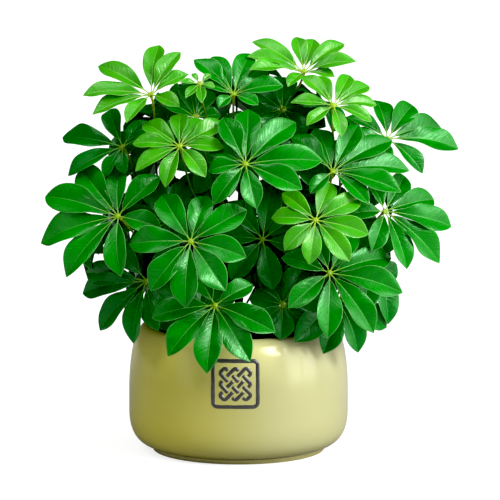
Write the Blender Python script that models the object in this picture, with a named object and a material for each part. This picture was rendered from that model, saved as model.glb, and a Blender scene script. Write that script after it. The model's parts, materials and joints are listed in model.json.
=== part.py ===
"""A bushy umbrella plant in a squat glazed pot that stands in a low drip saucer.

Units are metres, +Z is up, and the plant is seen from -Y. The origin lies under the middle of the
saucer, on the surface that it stands on. The saucer, the pot, the soil and each woody stem are
separate solids, and so is each palmate leaf: its stalk, its hub and its leaflets grew as one piece.
"""

import itertools
import math
import random
from dataclasses import dataclass

import bpy
from mathutils import Matrix, Vector
from mathutils.bvhtree import BVHTree

MM = 0.001
GAP = 0.3 * MM                 # clearance between a piece and its seat

# Turned pieces
SIDES_OF_TURNED = 30
SAUCER_RADIUS = 86 * MM
SAUCER_RIM_HEIGHT = 4.4 * MM
SAUCER_FLOOR = 2.4 * MM
SAUCER_WALL = 3.0 * MM
POT_RADIUS = 109.7 * MM
POT_FOOT_RADIUS = 81.5 * MM
POT_FOOT_HEIGHT = 2.3 * MM
POT_BELLY_LOW = 42.5 * MM      # height where the lower corner ends
POT_BELLY_HIGH = 60 * MM       # height where the shoulder starts
POT_HEIGHT = 127.5 * MM
POT_MOUTH_RADIUS = 91 * MM     # crown of the rim
POT_WALL = 6 * MM
POT_FLOOR_THICKNESS = 8 * MM
POT_FOOT_BEVEL = 2 * MM
POT_INSIDE_CROWN = POT_HEIGHT - 3 * MM     # where the inside would close
RIM_EDGE = (POT_MOUTH_RADIUS - 3 * MM, POT_HEIGHT - 1.5 * MM)
LIP = (POT_MOUTH_RADIUS - 3.5 * MM, POT_HEIGHT - 8 * MM)
INSIDE_TOP = POT_HEIGHT - 9 * MM           # the inside turns to the lip here
DRAIN_RADIUS = 8 * MM
CORNER_POWER = 2.5
SHOULDER_POWER = 2.2
SHOULDER_END = 78              # degrees from level where the shoulder meets the rim
CORNER_STEPS = 4
SHOULDER_STEPS = 5
INSIDE_STEPS = 3
SOIL_EDGE_HEIGHT = 111 * MM
SOIL_CROWN = 4 * MM
SOIL_EDGE_RADIUS = POT_RADIUS - POT_WALL - 6 * MM
SOIL_SIDE_TOP = SOIL_EDGE_HEIGHT - 4 * MM
SOIL_SHOULDER = (0.5 * SOIL_EDGE_RADIUS, SOIL_EDGE_HEIGHT + 0.8 * SOIL_CROWN)
STEM_HOLE_DEPTH = 52 * MM

# Stems
STEM_COUNT = 6
STEM_SIDES = 8
STEM_BASE_RADIUS = 4.6 * MM
STEM_TIP_RADIUS = 2.6 * MM
STEM_RING = 30 * MM            # radius of the ring of outer stems in the soil
STEM_LEAN = 46 * MM            # how far an outer stem's tip leans outwards
FIRST_STEM_ANGLE = 56          # degrees round from the front
STEM_TOP = 292 * MM
STEM_TOP_STEP = 14 * MM        # how much lower every second and third stem ends
MIDDLE_STEM_TOP = 330 * MM
MIDDLE_STEM_LEAN = 6 * MM
LEAN_POWER = 1.4               # how late a stem leans out
STEM_SWAY = 3 * MM
STEM_SWAY_TURN = 5             # radians that the sway goes through along a stem
EVEN_SHARE = 0.15              # share of a stem's length that doesn't taper
STEM_STEPS = 7

# Leaves
PETIOLE_RADIUS = 1.25 * MM
PETIOLE_SIDES = 4
PETIOLE_STEPS = 3
HUB_RADIUS = 3.2 * MM
HUB_HEIGHT = 2.4 * MM
BLADE_THICKNESS = 0.75 * MM
STALK_SHARE = 0.12             # share of a leaflet's length that is bare stalk
GUTTER = math.radians(15)      # how far each half blade rises from the midrib
ARCH = 0.09                    # rise of a leaflet's back over its chord, as a share of its length
LEAST_HALF_WIDTH = 0.6 * MM    # of a leaflet's bare stalk
WIDEST = 0.60                  # where a blade is widest, as a share of its length past the bare stalk
ROOT_SHARE = 0.92              # of the hub's radius, where a leaflet starts
NARROWEST_SHARE = 0.35         # of the leaf's full width, for the shortest leaflets
WIDEST_ROOM = 1.5              # most that a leaflet may spread to a side, in radians
HUB_CROWN = 1.6                # height of the hub's crown over half its height
OWN_SIDE_SHARE = 0.40          # share of the length within which neighbours keep to their own side
FULL_ROWS = (0.36, 0.64, 0.87)
PLAIN_ROWS = (0.40, 0.76)
CLEARANCE = 0.45 * MM

# The front view looks down on the plant by this angle
VIEW_TILT = math.radians(10)
PICTURE_UP = Vector((0, math.sin(VIEW_TILT), math.cos(VIEW_TILT)))
TO_VIEWER = Vector((0, -math.cos(VIEW_TILT), math.sin(VIEW_TILT)))

# Ways to bend a leaflet clear of what is there already: a pitch in degrees, and a share of its length
BENDS = [(pitch, share) for share in (1.0, 0.86, 0.72)
         for pitch in (0, 5, -5, 10, -10, 15, -15, 21, -21, 27, -27)]

NEAR_HUB = 0.03                # share of a leaflet's length where its blade is tested from
NEAR_HUB_HALF_WIDTH = 1.44 * MM
OUTER_SHARE = 0.6              # of the first row's place, where a leaflet's outer part is tested from
HUB_ROOM = 5.4 * MM            # radius that is kept clear round a hub

# Ways to run a leaf stalk clear: millimetres from the hub down to its foot, how far it bows as a
# share of its span, and degrees that it leaves its stem to one side
DROPS = (70, 85, 55, 100, 40, 115, 25, 130, 10, 150)
USUAL_DROP = 70 * MM
USUAL_BOW = 0.35
LOWEST_FOOT = SOIL_EDGE_HEIGHT + 16 * MM
BELOW_STEM_TOP = 4 * MM
BOWS = (0.35, 0.5, 0.22, 0.65, 0.1)
SIDEWAYS = (0, 25, -25, 50, -50, 75, -75, 100, -100)

YOUNG = (0.16, 0.50, 0.05)
MATURE = (0.03, 0.27, 0.03)
DEEP = (0.01, 0.13, 0.02)


@dataclass
class Leaf:
    """A palmate leaf: hub, facing as (degrees round from the front, degrees up), and its leaflets.

    Lengths are in millimetres. hub is the hub's place to the right and to the back of the pot's
    middle, and its height in the front view. tips are the leaflet tips in that view, right and up
    from the hub. cup is how far the tips rise over the hub's plane, as a share of their length.
    """

    hub: tuple
    facing: tuple
    width: float
    colour: tuple
    tips: tuple
    cup: float = -0.16
    rows: tuple = FULL_ROWS

    def place(self):
        """The hub's place in space."""
        right, back, seen_height = self.hub
        height = (seen_height - back * PICTURE_UP.y) / PICTURE_UP.z
        return Vector((right, back, height)) * MM

    def normal(self):
        """The direction that the leaf's upper side faces."""
        return facing_vector(*self.facing)

    def chords(self):
        """Vectors from the hub to each leaflet's tip, in order round the hub."""
        normal = self.normal()
        chords = []
        for right, up in self.tips:
            flat = Vector((right * MM, 0, 0)) + PICTURE_UP * (up * MM)
            rise = self.cup * flat.length
            depth = (rise - flat.dot(normal)) / TO_VIEWER.dot(normal)
            chords.append(flat + TO_VIEWER * depth)
        return chords


@dataclass
class SpreadLeaf(Leaf):
    """A leaf whose leaflets spread evenly round the hub, the longest ones away from the plant."""

    reach: float = 62.0
    count: int = 8
    seed: int = 0
    shorter: float = 0.34

    def place(self):
        """The hub's place in space, which such a leaf gives as it is."""
        return Vector(self.hub) * MM

    def chords(self):
        """Vectors from the hub to each leaflet's tip, in order round the hub."""
        draw = random.Random(self.seed)
        normal = self.normal()
        outward = Vector((self.hub[0], self.hub[1], 60))
        outward = (outward - normal * outward.dot(normal)).normalized()
        side = normal.cross(outward)
        start = draw.uniform(-20, 20)
        chords = []
        for number in range(self.count):
            turn = math.radians(start + 360 * number / self.count + draw.uniform(-5, 5))
            length = self.reach * (1 - self.shorter * (1 - math.cos(turn)) / 2)
            length *= draw.uniform(0.93, 1.04)
            along = outward * math.cos(turn) + side * math.sin(turn)
            chords.append((along + normal * self.cup) * length * MM)
        return chords


def facing_vector(around, up):
    """A unit vector at an angle round from the front (to the right) and up, both in degrees."""
    around, up = math.radians(around), math.radians(up)
    level = math.cos(up)
    return Vector((math.sin(around) * level, -math.cos(around) * level, math.sin(up)))


SEEN_LEAVES = (
    Leaf((-87, -40, 353), (-20, 52), 24, YOUNG, cup=0.10, tips=(
        (8, 50), (31, 40), (38, 20), (29, -13), (-24, -29), (-59, -17), (-68, -1), (-53, 29))),
    Leaf((-115, -42, 301), (-30, 38), 26, DEEP, rows=PLAIN_ROWS, tips=(
        (-61, 10), (-13, 38), (24, 26), (30, 11), (3, -27), (-18, -31), (-55, -29))),
    Leaf((-58, -92, 301), (-15, 45), 22, YOUNG, tips=(
        (-36, 23), (1, 33), (23, 29), (47, 22), (44, -2), (26, -31), (-14, -41), (-44, -25), (-46, 0))),
    Leaf((-38, -78, 363), (0, 55), 11, YOUNG, cup=0.12, rows=PLAIN_ROWS, tips=(
        (-20, 1), (-8, 10), (11, 9), (15, -4), (2, -20), (-14, -15))),
    Leaf((-5, -52, 353), (0, 48), 23, MATURE, cup=0.04, tips=(
        (-40, 32), (-21, 38), (17, 41), (36, 24), (50, 8), (25, -11), (-15, -14), (-32, 10))),
    Leaf((7, -112, 283), (-5, 36), 30, MATURE, tips=(
        (-37, -7), (-31, -40), (11, -44), (56, -27), (76, 3), (50, 42), (3, 55), (-22, 42), (-38, 24))),
    Leaf((65, -22, 376), (5, 58), 22, YOUNG, cup=0.12, tips=(
        (-52, 30), (-8, 31), (10, 33), (41, 28), (54, 3), (31, -6), (-16, -16), (-57, -7), (-58, 11))),
    Leaf((94, -82, 341), (10, 52), 19, YOUNG, tips=(
        (-17, 30), (16, 28), (36, 20), (43, 1), (38, -16), (8, -31), (-27, -20), (-43, 3), (-33, 24))),
    Leaf((148, -38, 309), (28, 48), 29, MATURE, tips=(
        (-11, 39), (24, 31), (55, 11), (69, -14), (35, -35), (-8, -30), (-42, 0), (-41, 22))),
    Leaf((93, -92, 276), (8, 48), 27, MATURE, tips=(
        (-41, 32), (-16, 43), (25, 40), (59, 27), (77, 1), (67, -24), (36, -32), (-22, -22))),
    Leaf((-119, -78, 232), (-28, 32), 34, MATURE, tips=(
        (-70, 17), (-38, 48), (1, 45), (42, 40), (43, -11), (3, -60), (-52, -61), (-78, -27))),
    Leaf((-47, -128, 207), (-15, 28), 30, MATURE, tips=(
        (-61, -3), (-40, -49), (-5, -66), (35, -49), (55, -16), (56, 31), (17, 45), (-29, 46))),
    Leaf((-91, -72, 168), (-32, 22), 30, DEEP, rows=PLAIN_ROWS, tips=(
        (-61, 8), (-61, -14), (-47, -50), (-13, -63), (12, -50), (34, -36), (28, 32), (-30, 38))),
    Leaf((-23, -118, 144), (-10, 36), 30, MATURE, tips=(
        (-47, -51), (-8, -68), (35, -56), (60, -29), (38, 20), (-20, 32), (-63, -13))),
    Leaf((76, -122, 228), (4, 30), 23, YOUNG, tips=(
        (-44, 2), (-31, -30), (-6, -44), (34, -41), (53, -14), (46, 22), (16, 39), (-33, 27))),
    Leaf((145, -64, 237), (30, 34), 29, MATURE, tips=(
        (50, 12), (64, -18), (55, -52), (22, -58), (-13, -40), (-38, -4), (-16, 30), (20, 36))),
    Leaf((90, -104, 176), (14, 30), 29, MATURE, tips=(
        (62, 15), (71, -22), (44, -60), (-2, -65), (-41, -35), (-48, 15), (-18, 40), (24, 44))),
    Leaf((24, -66, 209), (6, 28), 28, DEEP, rows=PLAIN_ROWS, tips=(
        (10, -50), (-32, -40), (-50, 2), (-34, 38), (8, 52), (44, 30), (50, -14))),
    Leaf((98, -58, 150), (30, 26), 29, DEEP, rows=PLAIN_ROWS, tips=(
        (50, -29), (21, -54), (-14, -55), (-43, -43), (-36, 6), (8, 38), (46, 20))),
    Leaf((134, -26, 186), (38, 28), 27, DEEP, rows=PLAIN_ROWS, tips=(
        (25, -14), (15, -62), (-18, -52), (-44, -8), (-18, 38), (18, 34))),
    Leaf((-42, -40, 330), (-8, 45), 24, MATURE, rows=PLAIN_ROWS, tips=(
        (25, 2), (16, 26), (-10, 34), (-34, 16), (-30, -18), (6, -32))),
)

# Leaves that the front view shows only in gaps, or not at all: rings of them on a dome. Each ring has
# a height, the dome's half width and half depth there, a facing, a reach and angles from the front
RINGS = (
    (166, 102, 112, 14, 60, (-100, -132, -164, 164, 132, 100)),
    (226, 130, 124, 26, 62, (-94, -126, -160, 160, 130, 102)),
    (288, 120, 108, 40, 60, (-98, -140, 176, 136, 84)),
    (346, 84, 76, 52, 56, (-112, -172, 140, 90)),
    (376, 8, 20, 74, 48, (-158,)),
)
INNER_LEAVES = (
    ((-68, -44, 240), (-24, 34), 60),
    ((-14, -30, 294), (-4, 40), 58),
    ((48, -48, 306), (12, 44), 54),
    ((-40, -62, 148), (-14, 22), 54),
    ((94, -50, 234), (26, 34), 54),
    ((44, -78, 160), (6, 26), 50),
    ((-88, -8, 318), (-26, 42), 50),
    ((44, -18, 346), (4, 44), 52),
)
RING_LEAF_WIDTH = 33
INNER_LEAF_WIDTH = 32
HIDDEN_LEAFLETS = 7


def all_leaves():
    """Every leaf of the plant, the seen ones first."""
    leaves = list(SEEN_LEAVES)
    seed = 1
    for height, half_width, half_depth, up, reach, angles in RINGS:
        for around in angles:
            direction = facing_vector(around, 0)
            hub = (direction.x * half_width, direction.y * half_depth, height)
            leaves.append(SpreadLeaf(hub, (around, up), RING_LEAF_WIDTH, DEEP, (), rows=PLAIN_ROWS,
                                     reach=reach, count=HIDDEN_LEAFLETS, seed=seed))
            seed += 1
    for hub, facing, reach in INNER_LEAVES:
        leaves.append(SpreadLeaf(hub, facing, INNER_LEAF_WIDTH, DEEP, (), rows=PLAIN_ROWS,
                                 reach=reach, count=HIDDEN_LEAFLETS, seed=seed))
        seed += 1
    return leaves


@dataclass
class Leaflet:
    """A leaflet that leaves the hub's rim at root and ends at root + chord; up is its back's side."""

    root: Vector
    chord: Vector
    up: Vector
    half_width: float
    room: tuple                # angles to the neighbours' bisectors, left and right

    def bent(self, pitch, share):
        """The same leaflet with its chord turned up by pitch degrees, at a share of its length."""
        side = self.up.cross(self.chord).normalized()
        turn = Matrix.Rotation(-math.radians(pitch), 3, side)
        return Leaflet(self.root, turn @ self.chord * share, turn @ self.up,
                       self.half_width * (0.5 + 0.5 * share), self.room)

    def frame(self, t):
        """The middle of the blade at a share t of its length, with its side and back directions."""
        length = self.chord.length
        middle = self.root + self.chord * t + self.up * (4 * ARCH * length * t * (1 - t))
        along = (self.chord + self.up * (4 * ARCH * length * (1 - 2 * t))).normalized()
        side = self.up.cross(along).normalized()
        return middle, side, along.cross(side)

    def reach_of_side(self, t, room):
        """Half the blade's width at t, kept on its own side of the neighbour near the hub."""
        u = max(0.0, (t - STALK_SHARE) / (1 - STALK_SHARE))
        span = WIDEST if u < WIDEST else 1 - WIDEST
        half = self.half_width * (1 - ((u - WIDEST) / span) ** 2)
        if t <= OWN_SIDE_SHARE:
            half = min(half, t * self.chord.length * math.sin(room) - GAP)
        return max(half, LEAST_HALF_WIDTH)

    def row(self, t, grow=0.0):
        """Upper then lower points of the blade at t, each from the right edge to the left one."""
        middle, side, back = self.frame(t)
        left = self.reach_of_side(t, self.room[0]) + grow
        right = self.reach_of_side(t, self.room[1]) + grow
        lift = math.tan(GUTTER)
        upper = [middle - side * right + back * (right * lift), middle,
                 middle + side * left + back * (left * lift)]
        half_thick = BLADE_THICKNESS / 2 + grow
        return [p + back * half_thick for p in upper], [p - back * half_thick for p in upper]

    def tip(self, grow=0.0):
        """Upper and lower point of the tip."""
        middle, side, back = self.frame(1.0)
        half_thick = BLADE_THICKNESS / 2 + grow
        return middle + back * half_thick, middle - back * half_thick


class Mesh:
    """Points and triangles on the way to a Blender mesh."""

    def __init__(self):
        self.points = []
        self.faces = []

    def add(self, points):
        """Adds points and returns their numbers."""
        first = len(self.points)
        self.points.extend(points)
        return list(range(first, len(self.points)))

    def quad(self, a, b, c, d):
        """A quadrilateral as two triangles, split from a to c."""
        self.faces += [(a, b, c), (a, c, d)]

    def zip_rings(self, lower, lower_angles, upper, upper_angles):
        """Joins two rings with different counts; both run anticlockwise, as do their angles."""
        full = 2 * math.pi
        i = j = 0
        while i < len(lower) or j < len(upper):
            next_low = lower_angles[(i + 1) % len(lower)] + full * ((i + 1) // len(lower))
            next_up = upper_angles[(j + 1) % len(upper)] + full * ((j + 1) // len(upper))
            if j >= len(upper) or (i < len(lower) and next_low <= next_up):
                self.faces.append((lower[i % len(lower)], lower[(i + 1) % len(lower)],
                                   upper[j % len(upper)]))
                i += 1
            else:
                self.faces.append((lower[i % len(lower)], upper[(j + 1) % len(upper)],
                                   upper[j % len(upper)]))
                j += 1

    def object(self, name, colour, roughness=0.45, smooth_angle=40):
        """Makes the named Blender object, with a plain material of its own."""
        mesh = bpy.data.meshes.new(name)
        mesh.from_pydata([tuple(p) for p in self.points], [], self.faces)
        mesh.validate()
        mesh.shade_smooth()
        mesh.set_sharp_from_angle(angle=math.radians(smooth_angle))
        made = bpy.data.objects.new(name, mesh)
        bpy.context.scene.collection.objects.link(made)
        mesh.materials.append(plain_material(name, colour, roughness))
        return made


def plain_material(name, colour, roughness):
    """A Principled material of one colour."""
    material = bpy.data.materials.new(name)
    material.use_nodes = True
    shader = material.node_tree.nodes["Principled BSDF"]
    shader.inputs["Base Color"].default_value = (*colour, 1)
    shader.inputs["Roughness"].default_value = roughness
    return material


def turned(name, outline, colour, roughness):
    """Turns a closed outline of (radius, height) points, anticlockwise, about the Z axis.

    A point on the axis becomes a single vertex.
    """
    mesh = Mesh()
    rings = []
    for radius, height in outline:
        if radius == 0:
            rings.append(mesh.add([Vector((0, 0, height))]) * SIDES_OF_TURNED)
            continue
        turns = [2 * math.pi * k / SIDES_OF_TURNED for k in range(SIDES_OF_TURNED)]
        ring = [Vector((radius * math.cos(a), radius * math.sin(a), height)) for a in turns]
        rings.append(mesh.add(ring))
    for low, high in zip(rings, rings[1:] + rings[:1]):
        for k in range(SIDES_OF_TURNED):
            after = (k + 1) % SIDES_OF_TURNED
            corners = [low[k], low[after], high[after], high[k]]
            unique = list(dict.fromkeys(corners))
            if len(unique) == 4:
                mesh.quad(*corners)
            elif len(unique) == 3:
                mesh.faces.append(tuple(unique))
    return mesh.object(name, colour, roughness, smooth_angle=50)


def corner(middle_radius, middle_height, across, tall, power, steps, start, end):
    """Points on a superellipse corner between two angles, in degrees from level."""
    points = []
    for k in range(steps + 1):
        angle = math.radians(start + (end - start) * k / steps)
        x = abs(math.cos(angle)) ** (2 / power) * across
        z = abs(math.sin(angle)) ** (2 / power) * tall
        points.append((middle_radius + x, middle_height + math.copysign(z, angle)))
    return points


def pot_wall_outline(inset, foot_height, crown_height, steps_low, steps_high):
    """The pot's side from its foot up to its rim, moved in from the outside by inset."""
    low = corner(POT_FOOT_RADIUS, POT_BELLY_LOW, POT_RADIUS - POT_FOOT_RADIUS - inset,
                 POT_BELLY_LOW - foot_height, CORNER_POWER, steps_low, -90, 0)
    high = corner(POT_MOUTH_RADIUS, POT_BELLY_HIGH, POT_RADIUS - POT_MOUTH_RADIUS - inset,
                  crown_height - POT_BELLY_HIGH, SHOULDER_POWER, steps_high, 0, SHOULDER_END)
    return low + high


def make_saucer():
    """A low tray with a flat underside and an upright rim."""
    inner = SAUCER_RADIUS - SAUCER_WALL
    outline = [(0, 0), (SAUCER_RADIUS, 0), (SAUCER_RADIUS, SAUCER_RIM_HEIGHT),
               (inner, SAUCER_RIM_HEIGHT), (inner, SAUCER_FLOOR), (0, SAUCER_FLOOR)]
    return turned("saucer", outline, (0.40, 0.34, 0.10), 0.2)


def make_pot():
    """A thick-walled bowl with round corners, a rolled-in rim and a drain hole."""
    foot = SAUCER_FLOOR + GAP
    side = foot + POT_FOOT_HEIGHT
    floor = foot + POT_FLOOR_THICKNESS
    outside = [(DRAIN_RADIUS, foot), (POT_FOOT_RADIUS - POT_FOOT_BEVEL, foot)]
    outside += pot_wall_outline(0, side, POT_HEIGHT, CORNER_STEPS, SHOULDER_STEPS)
    inside = pot_wall_outline(POT_WALL, floor, POT_INSIDE_CROWN, INSIDE_STEPS, INSIDE_STEPS)
    inside = [point for point in inside if point[1] < INSIDE_TOP]
    rim = [(POT_MOUTH_RADIUS, POT_HEIGHT), RIM_EDGE, LIP]
    outline = outside + rim + inside[::-1] + [(DRAIN_RADIUS, floor)]
    return turned("pot", outline, (0.50, 0.47, 0.15), 0.12)


def make_soil(stems):
    """Potting soil up to just under the rim, with a plain hole for each stem."""
    floor = SAUCER_FLOOR + GAP + POT_FLOOR_THICKNESS + GAP
    side = pot_wall_outline(POT_WALL + GAP, floor, POT_INSIDE_CROWN - GAP, INSIDE_STEPS, INSIDE_STEPS)
    side = [point for point in side if point[1] < SOIL_SIDE_TOP]
    outline = [(0, floor)] + side + [(SOIL_EDGE_RADIUS, SOIL_EDGE_HEIGHT), SOIL_SHOULDER,
                                     (0, SOIL_EDGE_HEIGHT + SOIL_CROWN)]
    soil = turned("soil", outline, (0.05, 0.03, 0.02), 0.95)
    cutters = bpy.data.collections.new("stem_holes")
    top = SOIL_EDGE_HEIGHT + 3 * SOIL_CROWN
    for stem in stems:
        foot = stem.points[0]
        mesh = Mesh()
        levels = (foot.z - GAP, top)
        radius = STEM_BASE_RADIUS + GAP
        rings = [mesh.add(stem_ring(Vector((foot.x, foot.y, z)), radius)) for z in levels]
        close_tube(mesh, rings)
        hole = mesh.object("hole_of_" + stem.name, (0, 0, 0))
        hole.hide_render = True
        hole.display_type = "WIRE"
        bpy.context.scene.collection.objects.unlink(hole)
        cutters.objects.link(hole)
    bpy.context.scene.collection.children.link(cutters)
    cut = soil.modifiers.new("stem_holes", "BOOLEAN")
    cut.operation = "DIFFERENCE"
    cut.operand_type = "COLLECTION"
    cut.collection = cutters
    cut.solver = "EXACT"
    bpy.context.view_layer.objects.active = soil
    bpy.ops.object.modifier_apply(modifier=cut.name)
    for hole in list(cutters.objects):
        bpy.data.objects.remove(hole)
    bpy.data.collections.remove(cutters)
    return soil


def stem_ring(middle, radius):
    """Level ring of points round a stem or its hole."""
    turns = [2 * math.pi * (k + 0.5) / STEM_SIDES for k in range(STEM_SIDES)]
    return [middle + Vector((math.cos(a), math.sin(a), 0)) * radius for a in turns]


@dataclass
class Stem:
    """A woody stem along a line of points, thinner towards its top."""

    name: str
    points: list

    def at(self, height):
        """The stem's middle, its radius and its direction at a height."""
        for number, (low, high) in enumerate(zip(self.points, self.points[1:])):
            if height <= high.z or high is self.points[-1]:
                share = min(1.0, (height - low.z) / (high.z - low.z))
                radius = self.radius((number + share) / (len(self.points) - 1))
                return low.lerp(high, share), radius, (high - low).normalized()

    def radius(self, share):
        """Radius at a share of the stem's length."""
        taper = max(0.0, share - EVEN_SHARE) / (1 - EVEN_SHARE)
        return STEM_BASE_RADIUS + (STEM_TIP_RADIUS - STEM_BASE_RADIUS) * taper

    def rings(self, mesh, grow=0.0):
        """Adds the stem's tube to a mesh."""
        count = len(self.points) - 1
        rings = [mesh.add(stem_ring(point, self.radius(number / count) + grow))
                 for number, point in enumerate(self.points)]
        close_tube(mesh, rings)


def close_tube(mesh, rings, cap_top=True):
    """Joins rings that run anticlockwise seen from the far end, and closes both ends."""
    count = len(rings[0])
    for low, high in zip(rings, rings[1:]):
        for k in range(count):
            after = (k + 1) % count
            mesh.quad(low[k], low[after], high[after], high[k])
    for k in range(1, count - 1):
        mesh.faces.append((rings[0][0], rings[0][k + 1], rings[0][k]))
        if cap_top:
            mesh.faces.append((rings[-1][0], rings[-1][k], rings[-1][k + 1]))


def plan_stems():
    """One stem in the middle and a ring of them that lean outwards."""
    stems = []
    bottom = SOIL_EDGE_HEIGHT - STEM_HOLE_DEPTH
    for number in range(STEM_COUNT):
        middle = number == 0
        around = facing_vector(FIRST_STEM_ANGLE + 360 * number / (STEM_COUNT - 1), 0)
        ring = 0 if middle else STEM_RING
        lean = MIDDLE_STEM_LEAN if middle else STEM_LEAN
        top = MIDDLE_STEM_TOP if middle else STEM_TOP - (number % 3) * STEM_TOP_STEP
        points = [around * ring + Vector((0, 0, bottom))]
        for step in range(STEM_STEPS):
            share = step / (STEM_STEPS - 1)
            height = SOIL_EDGE_HEIGHT + SOIL_CROWN + (top - SOIL_EDGE_HEIGHT) * share
            sway = STEM_SWAY * math.sin(STEM_SWAY_TURN * share + number)
            out = ring + lean * share ** LEAN_POWER
            points.append(around * out + Vector((-around.y, around.x, 0)) * (sway * share)
                          + Vector((0, 0, height)))
        stems.append(Stem(f"stem_{number + 1}", points))
    return stems


class Plan:
    """Solids placed so far, to bend the next ones clear of them."""

    def __init__(self):
        self.solids = []

    def add(self, mesh, owner):
        """Keeps a mesh's faces, under the name of the piece they belong to."""
        low, high = bounds(mesh.points)
        self.solids.append((low, high, BVHTree.FromPolygons(mesh.points, mesh.faces), owner))

    def is_clear(self, mesh, own=()):
        """Whether a mesh crosses nothing here, apart from the named owners."""
        low, high = bounds(mesh.points)
        tree = None
        for other_low, other_high, other, owner in self.solids:
            if owner in own:
                continue
            if any(low[i] > other_high[i] or high[i] < other_low[i] for i in range(3)):
                continue
            tree = tree or BVHTree.FromPolygons(mesh.points, mesh.faces)
            if tree.overlap(other):
                return False
        return True


def bounds(points):
    """Lowest and highest corner of some points."""
    return ([min(p[i] for p in points) for i in range(3)],
            [max(p[i] for p in points) for i in range(3)])


def add_blade(mesh, leaflet, rows, root, grow=0.0):
    """Adds a leaflet's blade. root is the upper right, upper left, lower right and lower left point."""
    top_right, top_left, low_right, low_left = root
    sections = [leaflet.row(t, grow) for t in rows]
    uppers = [mesh.add(upper) for upper, _ in sections]
    lowers = [mesh.add(lower) for _, lower in sections]
    tip_up, tip_low = mesh.add(leaflet.tip(grow))
    for points, start, end, flip in ((uppers, (top_right, top_left), tip_up, False),
                                     (lowers, (low_right, low_left), tip_low, True)):
        first = points[0]
        faces = [(start[0], first[0], first[1]), (start[0], first[1], start[1]),
                 (start[1], first[1], first[2])]
        for near, far in zip(points, points[1:]):
            faces += [(near[0], far[0], far[1]), (near[0], far[1], near[1]),
                      (near[1], far[1], near[2]), (far[1], far[2], near[2])]
        last = points[-1]
        faces += [(last[0], end, last[1]), (last[1], end, last[2])]
        mesh.faces += [face[::-1] for face in faces] if flip else faces
    right_up = [top_right] + [row[0] for row in uppers] + [tip_up]
    right_low = [low_right] + [row[0] for row in lowers] + [tip_low]
    left_up = [top_left] + [row[2] for row in uppers] + [tip_up]
    left_low = [low_left] + [row[2] for row in lowers] + [tip_low]
    for k in range(len(right_up) - 1):
        mesh.quad(right_up[k], right_low[k], right_low[k + 1], right_up[k + 1])
        mesh.quad(left_up[k], left_up[k + 1], left_low[k + 1], left_low[k])


def lone_blade(leaflet, rows, grow, start):
    """A leaflet's blade on its own from a share of its length outwards, larger by grow all round."""
    mesh = Mesh()
    middle, side, back = leaflet.frame(start)
    if start == NEAR_HUB:
        side, back = side * (NEAR_HUB_HALF_WIDTH + grow), back * (HUB_HEIGHT / 2 + grow)
    else:
        side = side * (leaflet.reach_of_side(start, leaflet.room[0]) + grow)
        back = back * (BLADE_THICKNESS / 2 + grow)
    root = mesh.add([middle + back - side, middle + back + side,
                     middle - back - side, middle - back + side])
    add_blade(mesh, leaflet, rows, root, grow)
    return mesh


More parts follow.
